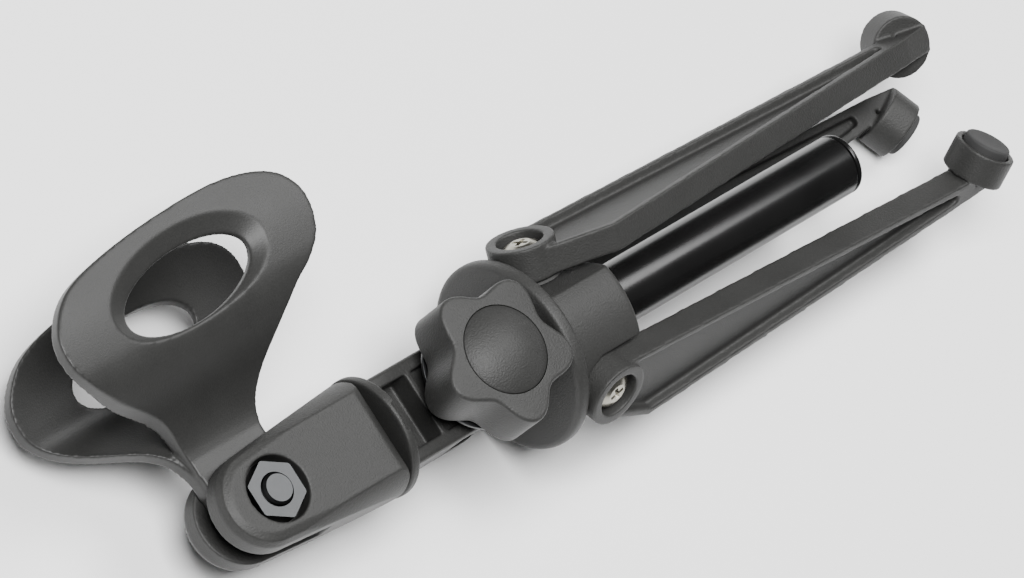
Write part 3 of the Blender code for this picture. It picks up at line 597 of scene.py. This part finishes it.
def settle(thing, node, body, slot, place=UPRIGHT, sharp=None):
    """Puts a finished piece in place of a node; edges over sharp degrees stay crisp."""
    thing.data.transform(Matrix.Translation(CENTRE) @ place)
    thing.data.shade_smooth()
    if sharp:
        thing.data.set_sharp_from_angle(angle=math.radians(sharp))
    thing.data.materials.clear()
    thing.data.materials.append(finish(slot))
    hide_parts(node)
    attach(thing, body)


# ---------------------------------------------------------------- places that pieces share
def hinge_x():
    return sizes().hub.face + sizes().hub.hinge_setback


def knuckle_radius():
    """Radius of the round part that turns on the leg screw."""
    return sizes().hub.hinge_setback - sizes().hub.flange_thickness - GAP


def leg_inner():
    return sizes().hub.leg_flat + GAP + sizes().leg.washer + GAP


def leg_outer():
    return leg_inner() + sizes().leg.thickness


def leg_middle():
    return (leg_inner() + leg_outer()) / 2


def leg_seat(letter):
    """Frame of a leg's hinge: X along the folded leg, Z along its screw."""
    turn = Matrix.Rotation(math.radians(LEG_ANGLES[letter]), 4, "X")
    return turn @ Matrix.Translation((hinge_x(), 0, 0))


def leg_rest(letter):
    """How far a leg stands open, from the lower stop that all legs share."""
    joint = next(joint for joint in frame["joints"] if joint["name"] == f"leg_{letter}_swing")
    return math.radians(FOLDED_STOP - joint["range_deg"][0])


def leg_as_folded(letter):
    """Frame of a leg at rest, turned open as far as it stands."""
    return leg_seat(letter) @ Matrix.Rotation(-leg_rest(letter), 4, "Z")


def foot_place():
    """Frame of a foot, Z out of its pad."""
    leg = sizes().leg
    tilt = Matrix.Rotation(math.radians(90), 4, "Y")
    turn = Matrix.Rotation(leg.opening, 4, "Z")
    return Matrix.Translation((leg.length, 0, leg_middle() - leg.inward)) @ turn @ tilt


def knob_back():
    return sizes().arm.boss_face + GAP + sizes().arm.washer + GAP


def knob_face():
    return knob_back() + sizes().knob.height


def base_place():
    return Matrix.Translation((-sizes().arm.length, 0, 0))


def bolt_place():
    return base_place() @ Matrix.Translation((-sizes().base.bolt_place, 0, 0))


# ---------------------------------------------------------------- hub
def build_hub():
    hub = sizes().hub
    back = hub.face + hub.flange_thickness
    end = hub.face + hub.length
    lip = sizes().column.tube_radius + GAP
    seat_floor = back + 0.5 * MM
    outside = [
        (lip, hub.face),
        (hub.flange_radius, hub.face),
        (hub.flange_radius, back),
        (hub.radius, back),
        (hub.radius, end),
        (hub.bush_seat, end),
    ]
    profile = rounded(outside, hub.flange_round) + [(hub.bush_seat, seat_floor), (lip, seat_floor)]
    body = workpiece("hub_moulding", lathed(profile, 128, closed=True), ALONG_X)
    room = knuckle_radius() + 2 * GAP
    far = 2 * hub.radius
    wall = -knuckle_radius() - GAP
    outline = arc((0, 0), room, 90, 180, 24) + [(wall, -far), (far, -far), (far, room)]
    screw_hole = rod(sizes().leg.screw_radius + GAP, hub.bush_seat + GAP, hub.radius + MM, 32)
    for letter in LEG_ANGLES:
        cut(body, prism(outline, hub.leg_flat, hub.radius + OVERRUN), leg_seat(letter))
        cut(body, screw_hole.copy(), leg_seat(letter))
    moulded(body, grain=0.26 * MM, passes=5)
    settle(body, "hub", "hub", "textured_black_plastic")


# ---------------------------------------------------------------- legs
def leg_outline(inset, start):
    """Outline of the bar, or of its pockets where there is an inset."""
    leg = sizes().leg
    stop = Vector((-math.cos(leg.opening), -math.sin(leg.opening)))
    along = Vector((math.sin(leg.opening), -math.cos(leg.opening)))
    radius = knuckle_radius() - GAP - inset
    touch = stop * radius
    shoulder = touch + along * ((leg.shoulder - inset + touch.y) / math.cos(leg.opening))
    tip = leg.length - leg.foot_radius / 2
    half = leg.foot_width / 2 - inset
    if inset:
        front = touch + along * (start + inset)
        tip -= 3.4 * inset
        ends = [(tip, -leg.bar_offset - half), (tip, -leg.bar_offset + half)]
        corners = [tuple(front), tuple(shoulder), *ends, (start, radius)]
        return rounded(corners, 1.2 * MM, closed=True)
    knuckle = arc((0, 0), radius, 90, math.degrees(math.atan2(stop.y, stop.x)) + 360, 48)
    around = rounded([knuckle[-1], tuple(shoulder), (tip, -leg.bar_offset - half)], 2.5 * MM)
    return knuckle + around[1:] + [(tip, -leg.bar_offset + half)]


def foot_rib():
    """The bar's edge runs on across the back of the foot and sinks into its rim."""
    leg = sizes().leg
    normal = Vector((math.cos(leg.opening), math.sin(leg.opening)))
    across = Vector((normal.y, -normal.x))
    middle = Vector((leg.length, 0))
    rim = middle - normal * leg.foot_height / 2 + across * (leg.foot_radius - 0.3 * MM)
    inside = middle + across * (leg.foot_radius - 1.2 * MM)
    tip = leg.length - leg.foot_radius / 2
    edge = -leg.bar_offset - leg.foot_width / 2
    root = tip - 4 * MM
    return [(root, edge), (tip, edge), tuple(rim), tuple(inside), (root, -leg.bar_offset)]


def leaning(mesh):
    """Leans a leg's mesh towards the tube, more so at the foot."""
    shear = Matrix.Identity(4)
    shear[2][0] = -sizes().leg.inward / sizes().leg.length
    mesh.transform(shear)
    return mesh


def build_leg(letter):
    leg = sizes().leg
    bar = leaning(prism(leg_outline(0, 0), leg_inner() + GAP, leg_outer()))
    body = workpiece(f"leg_{letter}_moulding", bar)
    pocket = leg_outline(leg.edge, knuckle_radius() * 0.5)
    web_low = leg_middle() - leg.web / 2
    web_high = leg_middle() + leg.web / 2
    cut(body, leaning(prism(pocket, web_high, leg_outer() + OVERRUN)))
    cut(body, leaning(prism(pocket, leg_inner() - OVERRUN, web_low)))
    knuckle_top = leg_outer() + leg.knuckle_rise
    join(body, rod(knuckle_radius(), leg_inner(), knuckle_top, 96))
    half = leg.foot_height / 2
    foot = foot_place()
    join(body, rod(leg.foot_radius, -half, half, 96), foot)
    join(body, leaning(prism(foot_rib(), leg_inner() + GAP, leg_outer())))
    cut(body, rod(leg.pad_radius + GAP, half - leg.pad_recess, half + MM, 64), foot)
    cut(body, rod(leg.screw_radius + GAP, 0, 2 * leg_outer(), 32))
    cut(body, rod(leg.recess_radius, knuckle_top - leg.recess_depth, 2 * leg_outer(), 64))
    moulded(body, grain=0.25 * MM, passes=8)
    settle(body, f"leg_{letter}", f"leg_{letter}", "textured_black_plastic", leg_as_folded(letter))


def build_foot_pad(letter):
    leg = sizes().leg
    half = leg.foot_height / 2
    face = half + leg.pad_proud
    floor = half - leg.pad_recess + GAP
    outside = [(0, face - 0.25 * MM), (leg.pad_radius - 1.2 * MM, face), (leg.pad_radius, face)]
    outside += [(leg.pad_radius, floor), (0, floor)]
    body = workpiece(f"rubber_pad_{letter}", lathed(rounded(outside, 0.5 * MM), 64))
    place = leg_as_folded(letter) @ foot_place()
    settle(body, f"foot_pad_{letter}", f"leg_{letter}", "rubber", place, sharp=50)


def build_leg_screw(letter):
    leg = sizes().leg
    seat = leg_outer() + leg.knuckle_rise - leg.recess_depth + GAP
    top = seat + leg.head_height
    tip = seat - leg.screw_length
    head = [(0, top), (leg.head_radius * 0.55, top)]
    head += [(leg.head_radius, top - 0.8 * MM), (leg.head_radius, seat)]
    shank = [(leg.screw_radius, seat), (leg.screw_radius, tip), (0, tip)]
    body = workpiece(f"cross_head_screw_{letter}", lathed(rounded(head + shank, 0.3 * MM), 72))
    reach = leg.head_radius * 0.60
    blade = 0.55 * MM
    depth = 1.7 * MM
    askew = 20
    taper = 0.45
    for quarter in (0, 90):
        bm = bmesh.new()
        turn = Matrix.Rotation(math.radians(quarter + askew), 4, "Z")
        place = turn @ Matrix.Translation((0, 0, top))
        size = Matrix.Diagonal((2 * reach, 2 * blade, 2 * depth, 1))
        bmesh.ops.create_cube(bm, size=1, matrix=place @ size)
        floor = top - depth + 0.01 * MM
        for vertex in bm.verts:
            if vertex.co.z < floor:
                vertex.co.x *= taper
                vertex.co.y *= taper
        cut(body, mesh_of(bm))
    settle(body, f"leg_screw_{letter}", "hub", "nickel_plate", leg_seat(letter), sharp=30)


# ---------------------------------------------------------------- column
def build_tube():
    column = sizes().column
    start = sizes().hub.face - GAP - column.head_length + TUBE_SEAT
    end = column.tube_end - column.plug_cap
    inner = column.tube_radius - column.tube_wall
    outside = [(inner, end), (column.tube_radius, end), (column.tube_radius, start), (inner, start)]
    profile = rounded(outside, 0.25 * MM, closed=True)
    body = workpiece("tube_black", lathed(profile, 128, closed=True))
    settle(body, "centre_tube", "column", "gloss_black_paint", ALONG_X, sharp=50)


def build_tube_plug():
    column = sizes().column
    end = column.tube_end - column.plug_cap
    plug = column.tube_radius - column.tube_wall - GAP
    depth = 6 * MM
    outside = [
        (0, column.tube_end),
        (column.tube_radius, column.tube_end),
        (column.tube_radius, end + GAP),
        (plug, end + GAP),
        (plug, end - depth),
        (0, end - depth),
    ]
    body = workpiece("plug_of_tube", lathed(rounded(outside, 0.7 * MM), 96))
    settle(body, "tube_plug", "column", "gloss_black_paint", ALONG_X, sharp=50)


def build_column_head():
    column = sizes().column
    top = sizes().hub.face - GAP
    base = top - column.head_length
    socket = column.tube_radius + GAP
    plug = column.tube_radius - column.tube_wall - GAP
    start = base + TUBE_SEAT
    end = start + 14 * MM
    outside = [(0, base), (column.head_radius, base), (column.head_radius, top), (socket, top)]
    outside += [(socket, start - GAP), (plug, start - GAP), (plug, end), (0, end)]
    body = workpiece("head_of_column", lathed(rounded(outside, 0.6 * MM), 96), ALONG_X)
    reach = base + 1.5 * MM
    radius = column.tongue_radius
    neck = [(reach, -column.tongue_neck), (reach, column.tongue_neck)]
    tongue = arc((0, 0), radius, 62, 298, 48) + neck
    join(body, prism(tongue, -column.tongue_half, column.tongue_half, 0.3 * MM))
    cut(body, rod(sizes().arm.bolt_radius + GAP, -radius, radius))
    settle(body, "column_head", "column", "textured_black_plastic", sharp=35)


# ---------------------------------------------------------------- arm and knob
def build_arm():
    arm = sizes().arm
    start = -arm.length + arm.collar_thickness / 2
    outline = arc((0, 0), arm.half_width, 90, -90, 48)
    outline += [(start, -arm.half_width), (start, arm.half_width)]
    body = workpiece("arm_moulding", prism(outline, -arm.half_depth, arm.half_depth, 0.8 * MM))
    pocket_end = -arm.length + arm.collar_thickness + 0.9 * MM
    inner = arm.half_width - arm.side_wall
    deep = arm.web / 2
    room = sizes().column.tongue_half + GAP + sizes().leg.washer + GAP
    shallow = room + 1.3 * MM
    rib_front = -arm.rib_place + arm.rib_width / 2
    rib_back = -arm.rib_place - arm.rib_width / 2
    outside = arm.boss_face + 1 * MM
    for side in (1, -1):
        flip = Matrix.Rotation(math.pi if side < 0 else 0, 4, "X")
        pocket = box_between((pocket_end, -inner, deep), (rib_back, inner, outside))
        cut(body, pocket, flip)
        beside_boss = (-arm.boss_radius / 2, inner, outside)
        cut(body, box_between((rib_front, -inner, shallow), beside_boss), flip)
        join(body, rod(arm.boss_radius, deep, arm.boss_face, 96), flip)
    collar = Matrix.Translation((-arm.length, 0, 0)) @ ALONG_X
    edge, thick = arm.collar_radius, arm.collar_thickness
    rim = [(0, 0), (edge, 0), (edge, thick), (0, thick)]
    join(body, lathed(rounded(rim, 0.5 * MM), 128), collar)
    head_base = sizes().hub.face - GAP - sizes().column.head_length
    radius = math.hypot(head_base, sizes().column.tongue_neck) + GAP
    slot = arc((0, 0), radius, 90, 270, 48) + [(2 * radius, -radius), (2 * radius, radius)]
    cut(body, prism(slot, -room, room))
    cut(body, rod(arm.bolt_radius + GAP, -2 * arm.boss_face, 2 * arm.boss_face))
    seat = -arm.boss_face + arm.nut_recess
    cut(body, hexagon(arm.nut_flats + 2 * GAP, -2 * arm.boss_face, seat))
    cut(body, rod(sizes().base.stud_radius + GAP, -1 * MM, 1.7 * MM), collar)
    low = (-arm.length + arm.collar_thickness / 2, -arm.notch / 2, arm.half_depth)
    high = (-arm.length + 2 * arm.collar_thickness, arm.notch / 2, arm.collar_radius + 1 * MM)
    cut(body, box_between(low, high))
    moulded(body, grain=0.22 * MM, passes=4)
    settle(body, "arm", "arm", "textured_black_plastic")


def build_clamp_washer():
    arm = sizes().arm
    back = arm.boss_face + GAP
    hole = arm.bolt_radius + GAP
    outside = [(hole, back), (hole, back + arm.washer), (arm.washer_radius, back + arm.washer)]
    outside.append((arm.washer_radius, back))
    profile = rounded(outside, 0.2 * MM, closed=True)
    body = workpiece("washer_of_clamp", lathed(profile, 96, closed=True))
    settle(body, "clamp_washer", "arm", "black_oxide_steel", sharp=50)


def knob_outline():
    """A wave of lobes round the knob."""
    knob = sizes().knob
    middle = (knob.radius + knob.valley) / 2
    swing = (knob.radius - knob.valley) / 2
    points = []
    steps = 180
    for i in range(steps):
        turn = 2 * math.pi * i / steps
        radius = middle + swing * math.cos(knob.lobes * turn)
        points.append((radius * math.cos(turn + knob.turn), radius * math.sin(turn + knob.turn)))
    return points


def build_knob():
    knob = sizes().knob
    floor = knob_face() - knob.cap_seat
    insert_top = floor - 1.3 * MM
    body = workpiece("knob_moulding", prism(knob_outline(), knob_back(), knob_face(), knob.rim, 5))
    cut(body, rod(knob.cap_radius + 0.5 * GAP, floor, knob_face() + 1 * MM, 128))
    cut(body, rod(knob.insert_radius + GAP, knob_back() - 1 * MM, insert_top))
    cut(body, rod(sizes().arm.bolt_radius + GAP, knob_back() - 1 * MM, knob_face()))
    settle(body, "clamp_knob", "knob", "textured_black_plastic", sharp=30)


def build_knob_cap():
    knob = sizes().knob
    dome_radius = (knob.cap_radius**2 + knob.cap_dome**2) / (2 * knob.cap_dome)
    dome_middle = knob_face() + knob.cap_dome - dome_radius
    opening = math.degrees(math.asin(knob.cap_radius / dome_radius))
    dome = arc((0, dome_middle), dome_radius, 90, 90 - opening * 0.97, 24)
    dome[0] = (0, knob_face() + knob.cap_dome)
    floor = knob_face() - knob.cap_seat + GAP
    side = [(knob.cap_radius, knob_face()), (knob.cap_radius, floor)]
    rim = rounded([dome[-1], *side, (0, floor)], 0.3 * MM)
    body = workpiece("domed_cap", lathed(dome + rim[1:], 128))
    settle(body, "knob_cap", "knob", "textured_black_plastic", sharp=50)


# ---------------------------------------------------------------- clip base
def build_clip_base():
    base = sizes().base
    end = -base.length + base.end_radius
    round_end = arc((end, 0), base.end_radius, 93, 267, 64)
    outline = [(-GAP, base.radius), *round_end, (-GAP, -base.radius)]
    flats = prism(outline, -base.half_depth, base.half_depth, base.chamfer, 2)
    body = workpiece("base_moulding", flats)
    trim(body, rod(base.radius, -2 * base.length, -GAP, 128), ALONG_X)
    slot_end = -base.bolt_place + sizes().clip.stem_half + 2 * GAP
    slot_half = sizes().clip.tongue_half + GAP
    low = (-2 * base.length, -2 * base.radius, -slot_half)
    cut(body, box_between(low, (slot_end, 2 * base.radius, slot_half)))
    socket = base.stud_radius + GAP + base.stud_wall + GAP
    cut(body, rod(socket, -base.stud_length - 2 * GAP, 1 * MM), ALONG_X)
    at_bolt = Matrix.Translation((-base.bolt_place, 0, 0))
    recess = base.half_depth - base.recess_depth
    cut(body, rod(sizes().arm.bolt_radius + GAP, -2 * base.radius, 2 * base.radius), at_bolt)
    cut(body, rod(base.recess_radius, recess, 2 * base.radius, 96), at_bolt)
    cut(body, rod(base.recess_radius, -2 * base.radius, -recess, 96), at_bolt)
    moulded(body, grain=0.24 * MM, passes=4)
    settle(body, "clip_base", "clip_base", "textured_black_plastic", base_place())


def build_clip_nut():
    base, arm = sizes().base, sizes().arm
    low = base.half_depth - base.recess_depth + GAP
    high = low + base.nut_height
    body = workpiece("hexagon_nut", hexagon(arm.nut_flats, low, high))
    corner = corner_radius(arm.nut_flats)
    drop = 0.4 * MM
    hole = arm.bolt_radius + GAP / 3
    rim = arm.nut_flats / 2 * 1.13
    outside = [(hole + 0.12 * MM, high), (rim, high), (corner + 0.1 * MM, high - drop)]
    outside += [(corner + 0.1 * MM, low), (hole, low), (hole, high - 0.12 * MM)]
    trim(body, lathed(outside, 96, closed=True))
    settle(body, "clip_nut", "clip_base", "black_oxide_steel", bolt_place(), sharp=20)


def build_clip_bolt():
    base, arm = sizes().base, sizes().arm
    recess = base.half_depth - base.recess_depth
    top = recess + GAP + base.nut_height + 0.9 * MM
    pitch = 1.0 * MM
    rings = 8
    first = top - 0.5 * MM
    outer = arm.bolt_radius
    root = outer - 0.45 * MM
    end = -recess - 1 * MM
    profile = [(0, top), (root, top)]
    for i in range(rings):
        crest = first - i * pitch
        profile += [(outer, crest), (outer, crest - 0.15 * MM), (root, crest - 0.55 * pitch)]
    profile += [(outer, first - rings * pitch), (outer, end), (0, end)]
    body = workpiece("bolt_of_clip", lathed(profile, 72))
    head_top = -recess - GAP
    head = workpiece("head", hexagon(arm.nut_flats, head_top - base.nut_height, head_top))
    corner = corner_radius(arm.nut_flats)
    face = head_top - base.nut_height
    cone = [(0, face), (arm.nut_flats / 2 - 0.1 * MM, face), (corner + 0.1 * MM, face + 0.55 * MM)]
    trim(head, lathed(cone + [(corner + 0.1 * MM, head_top), (0, head_top)], 96))
    join(body, head.data.copy())
    bpy.data.objects.remove(head, do_unlink=True)
    settle(body, "clip_bolt", "clip_base", "black_oxide_steel", bolt_place(), sharp=20)


# ---------------------------------------------------------------- microphone clip
def jaw_path():
    """Middle of a jaw's wall, seen along the microphone: (height, offset) points."""
    clip = sizes().clip
    root = clip.tongue_half - clip.wall / 2
    foot = clip.fork_height - 6.5 * MM
    bend = clip.jaw_height - 4 * MM
    top = clip.jaw_height + 18 * MM
    knots = [
        ((foot - 4 * MM, root), (foot, root)),
        ((foot, root), (bend, clip.spread)),
        ((bend, clip.spread), (top, clip.spread - 3.2 * MM)),
    ]
    points = [knots[0][0]]
    steps = 24
    for (x0, y0), (x1, y1) in knots:
        reach = (x1 - x0) * 0.42
        slope = (y1 - y0) / (x1 - x0) if y1 < y0 else 0
        for i in range(1, steps + 1):
            t = i / steps
            weights = ((1 - t) ** 3, 3 * t * (1 - t) ** 2, 3 * t**2 * (1 - t), t**3)
            xs = (x0, x0 + reach, x1 - reach, x1)
            ys = (y0, y0, y1 - slope * reach, y1)
            across = sum(w * x for w, x in zip(weights, xs))
            points.append((across, sum(w * y for w, y in zip(weights, ys))))
    return points


def lean(height):
    """How far the leaning stem has moved at a height."""
    clear_of_base = sizes().base.length - sizes().base.bolt_place + GAP
    return max(0.0, height - clear_of_base) * math.tan(sizes().clip.lean)


def jaw_outline(half_length):
    """The egg of a jaw, running down into the stem."""
    clip = sizes().clip
    right = [(0.60, -1.06), (0.78, -0.84), (0.93, -0.54), (1.0, 0.0), (0.89, 0.46), (0.58, 0.76)]
    top = [(0.12, 0.87), (-0.38, 0.86), (-0.74, 0.72)]
    left = [(-0.95, 0.34), (-1.0, -0.08), (-0.95, -0.45), (-0.80, -0.88)]
    egg = right + top + left
    turn = Matrix.Rotation(clip.jaw_turn, 2)
    middle = Vector((clip.jaw_offset, clip.jaw_height + clip.jaw_rise))
    jaw = []
    for x, y in egg:
        jaw.append(tuple(middle + turn @ Vector((x * half_length, y * clip.half_height))))
    neck = clip.stem_half + 3.2 * MM
    low = clip.fork_height - 8 * MM
    stem = [(-neck, clip.fork_height), (-clip.stem_half, low), (-clip.stem_half, 0)]
    return flowing(jaw + stem + [(-x, y) for x, y in reversed(stem)], 8)


def jaw_hole(side, drop):
    """A cutter for a jaw's oval hole, flared towards the outside."""
    clip = sizes().clip
    offset = lean(clip.jaw_height - drop) * side + clip.spread
    middle = Matrix.Translation((clip.jaw_offset, clip.jaw_height - drop, offset))
    turn = Matrix.Rotation(clip.jaw_turn, 4, "Z")
    bm = bmesh.new()
    rings = []
    levels = ((-2.0, 0.0), (-0.5, 0.0), (-0.12, 0.0), (0.5, 1.0), (2.0, 3.4))
    for level, widen in levels:
        grow = widen * clip.hole_bevel
        size = Matrix.Diagonal((clip.hole_half_length + grow, clip.hole_half_height + grow, 1, 1))
        place = middle @ Matrix.Translation((0, 0, level * clip.wall)) @ turn @ size
        made = bmesh.ops.create_circle(bm, cap_ends=False, radius=1, segments=96, matrix=place)
        rings.append(list({edge for vertex in made["verts"] for edge in vertex.link_edges}))
    for low, high in zip(rings, rings[1:]):
        bmesh.ops.bridge_loops(bm, edges=low + high)
    bmesh.ops.holes_fill(bm, edges=bm.edges, sides=0)
    bmesh.ops.transform(bm, matrix=Matrix.Diagonal((1, 1, side, 1)), verts=bm.verts)
    bmesh.ops.recalc_face_normals(bm, faces=bm.faces)
    return mesh_of(bm)


def build_jaw(side):
    """One springy jaw, cut out of a bent sheet."""
    clip = sizes().clip
    drop = clip.rear_drop if side < 0 else 0.0
    half_length = clip.rear_half_length if side < 0 else clip.half_length
    width = half_length + clip.jaw_offset + 2 * MM
    bm = bmesh.new()
    points = []
    for height, offset in jaw_path():
        level = height - drop
        points.append(bm.verts.new((-width, level, lean(level) + side * offset)))
    edges = [bm.edges.new(pair) for pair in zip(points, points[1:])]
    made = bmesh.ops.extrude_edge_only(bm, edges=edges)
    moved = [item for item in made["geom"] if isinstance(item, bmesh.types.BMVert)]
    bmesh.ops.translate(bm, verts=moved, vec=(2 * width, 0, 0))
    bmesh.ops.recalc_face_normals(bm, faces=bm.faces)
    jaw = workpiece("jaw", mesh_of(bm))
    wall = jaw.modifiers.new("wall", "SOLIDIFY")
    wall.thickness = clip.wall
    wall.offset = 0
    applied(jaw)
    reach = 3 * clip.spread
    trim(jaw, prism(jaw_outline(half_length), -reach, reach), Matrix.Translation((0, -drop, 0)))
    cut(jaw, jaw_hole(side, drop))
    return jaw


def build_clip():
    clip = sizes().clip
    top = clip.fork_height - 7 * MM
    radius = clip.tongue_radius
    stem = arc((0, 0), radius, 180, 360, 48) + [(radius, top), (-radius, top)]
    body = workpiece("clip_moulding", prism(stem, -clip.tongue_half, clip.tongue_half))
    for side in (1, -1):
        jaw = build_jaw(side)
        join(body, jaw.data.copy())
        bpy.data.objects.remove(jaw, do_unlink=True)
    cut(body, rod(sizes().arm.bolt_radius + GAP, -2 * radius, 2 * radius))
    moulded(body, grain=0.32 * MM, passes=5)
    place = bolt_place() @ Matrix.Rotation(clip.turn, 4, "Z")
    settle(body, "mic_clip", "clip", "satin_black_plastic", place)


# ---------------------------------------------------------------- stage
AMBIENT = 0.10
SOFTBOXES = (  # name, place from the clamp screw, side in metres, power in watts
    ("key", (0.85, 0.25, 1.45), 0.7, 26.0),
    ("top", (-0.55, 0.10, 1.60), 0.8, 66.0),
)


def aim(thing, target):
    """Turns a light to face a point."""
    thing.rotation_euler = (target - thing.location).to_track_quat("-Z", "Y").to_euler()


def add_softbox(name, place, side, power):
    """A square area light that faces the clamp screw."""
    data = bpy.data.lights.new(name, "AREA")
    data.shape = "RECTANGLE"
    data.size = data.size_y = side
    data.energy = power
    light = bpy.data.objects.new(name, data)
    bpy.context.scene.collection.objects.link(light)
    light.location = CENTRE + Vector(place)
    aim(light, CENTRE)


def build_floor():
    stage = sizes().stage
    bm = bmesh.new()
    bmesh.ops.create_grid(bm, x_segments=1, y_segments=1, size=stage.floor_size / 2)
    floor = bpy.data.objects.new("floor", mesh_of(bm))
    bpy.context.scene.collection.objects.link(floor)
    recipe = Recipe("floor_white")
    tint = recipe.blend(recipe.noise(0.4, 2.0), (0.90, 0.90, 0.90), (0.93, 0.93, 0.93))
    floor.data.materials.append(recipe.surface(Base_Color=tint, Roughness=0.9))


def build_camera():
    """The camera, placed by its direction, roll and distance."""
    stage = sizes().stage
    east, north = math.cos(stage.azimuth), math.sin(stage.azimuth)
    flat = math.cos(stage.elevation)
    outward = Vector((flat * east, flat * north, math.sin(stage.elevation)))
    level = Vector((-north, east, 0))
    upward = outward.cross(level)
    across = level * math.cos(stage.roll) + upward * math.sin(stage.roll)
    above = outward.cross(across)
    camera = bpy.data.objects.new("camera", bpy.data.cameras.new("camera"))
    bpy.context.scene.collection.objects.link(camera)
    camera.data.lens = stage.lens
    camera.data.sensor_width = 36.0
    place = Matrix((across, above, outward)).transposed().to_4x4()
    place.translation = CENTRE + Vector(stage.target) + outward * stage.distance
    camera.matrix_world = place
    bpy.context.scene.camera = camera


def build_lights():
    world = bpy.data.worlds.new("studio")
    bpy.context.scene.world = world
    world.use_nodes = True
    backdrop = world.node_tree.nodes["Background"]
    backdrop.inputs["Color"].default_value = (1.0, 1.0, 1.0, 1.0)
    backdrop.inputs["Strength"].default_value = AMBIENT
    for softbox in SOFTBOXES:
        add_softbox(*softbox)


# ---------------------------------------------------------------- operators
class TRIPOD_OT_hub(bpy.types.Operator):
    """Make the hub, with its flange and the three seats for the legs"""

    bl_idname = "tripod.hub"
    bl_label = "Hub"
    bl_options = {"REGISTER", "UNDO"}

    def execute(self, context):
        build_hub()
        return {"FINISHED"}


class TRIPOD_OT_legs(bpy.types.Operator):
    """Make the three legs, with their rubber pads and their screws"""

    bl_idname = "tripod.legs"
    bl_label = "Legs"
    bl_options = {"REGISTER", "UNDO"}

    def execute(self, context):
        for letter in LEG_ANGLES:
            build_leg(letter)
            build_foot_pad(letter)
            build_leg_screw(letter)
        return {"FINISHED"}


class TRIPOD_OT_column(bpy.types.Operator):
    """Make the centre tube, its plug and its head"""

    bl_idname = "tripod.column"
    bl_label = "Column"
    bl_options = {"REGISTER", "UNDO"}

    def execute(self, context):
        build_tube()
        build_tube_plug()
        build_column_head()
        return {"FINISHED"}


class TRIPOD_OT_arm(bpy.types.Operator):
    """Make the tilting arm and its clamp washer"""

    bl_idname = "tripod.arm"
    bl_label = "Arm"
    bl_options = {"REGISTER", "UNDO"}

    def execute(self, context):
        build_arm()
        build_clamp_washer()
        return {"FINISHED"}


class TRIPOD_OT_knob(bpy.types.Operator):
    """Make the clamp knob and its domed cap"""

    bl_idname = "tripod.knob"
    bl_label = "Knob"
    bl_options = {"REGISTER", "UNDO"}

    def execute(self, context):
        build_knob()
        build_knob_cap()
        return {"FINISHED"}


class TRIPOD_OT_clip_base(bpy.types.Operator):
    """Make the clip base with its nut and bolt"""

    bl_idname = "tripod.clip_base"
    bl_label = "Clip base"
    bl_options = {"REGISTER", "UNDO"}

    def execute(self, context):
        build_clip_base()
        build_clip_nut()
        build_clip_bolt()
        return {"FINISHED"}


class TRIPOD_OT_clip(bpy.types.Operator):
    """Make the microphone clip with its two jaws"""

    bl_idname = "tripod.clip"
    bl_label = "Microphone clip"
    bl_options = {"REGISTER", "UNDO"}

    def execute(self, context):
        build_clip()
        return {"FINISHED"}


class TRIPOD_OT_hardware(bpy.types.Operator):
    """Give the washers, inserts, bush and bolts inside their finishes"""

    bl_idname = "tripod.hardware"
    bl_label = "Hidden hardware"
    bl_options = {"REGISTER", "UNDO"}

    def execute(self, context):
        for node, slot in HIDDEN_HARDWARE.items():
            mesh = frame["nodes"][node].data
            mesh.materials.clear()
            mesh.materials.append(finish(slot))
        return {"FINISHED"}


class TRIPOD_OT_stage(bpy.types.Operator):
    """Set up the floor, the studio lights and the camera"""

    bl_idname = "tripod.stage"
    bl_label = "Stage"
    bl_options = {"REGISTER", "UNDO"}

    def execute(self, context):
        build_floor()
        build_lights()
        build_camera()
        return {"FINISHED"}


OPERATORS = (
    TRIPOD_OT_hub,
    TRIPOD_OT_legs,
    TRIPOD_OT_column,
    TRIPOD_OT_arm,
    TRIPOD_OT_knob,
    TRIPOD_OT_clip_base,
    TRIPOD_OT_clip,
    TRIPOD_OT_hardware,
    TRIPOD_OT_stage,
)


class TRIPOD_PT_panel(bpy.types.Panel):
    """Lists the tripod's pieces"""

    bl_idname = "TRIPOD_PT_panel"
    bl_label = "Microphone Tripod"
    bl_space_type = "VIEW_3D"
    bl_region_type = "UI"
    bl_category = "Tripod"

    def draw(self, context):
        for operator in OPERATORS:
            self.layout.operator(operator.bl_idname)


CLASSES = (
    ColumnSizes,
    HubSizes,
    LegSizes,
    ArmSizes,
    KnobSizes,
    BaseSizes,
    ClipSizes,
    Finishes,
    StageSettings,
    TripodSettings,
    *OPERATORS,
    TRIPOD_PT_panel,
)


def register():
    for kind in CLASSES:
        bpy.utils.register_class(kind)
    bpy.types.Scene.microphone_tripod = PointerProperty(type=TripodSettings)


def unregister():
    del bpy.types.Scene.microphone_tripod
    for kind in reversed(CLASSES):
        bpy.utils.unregister_class(kind)


def main():
    register()
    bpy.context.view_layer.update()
    bpy.ops.tripod.hub()
    bpy.ops.tripod.legs()
    bpy.ops.tripod.column()
    bpy.ops.tripod.arm()
    bpy.ops.tripod.knob()
    bpy.ops.tripod.clip_base()
    bpy.ops.tripod.clip()
    bpy.ops.tripod.hardware()
    bpy.ops.tripod.stage()


if __name__ == "__main__":
    main()
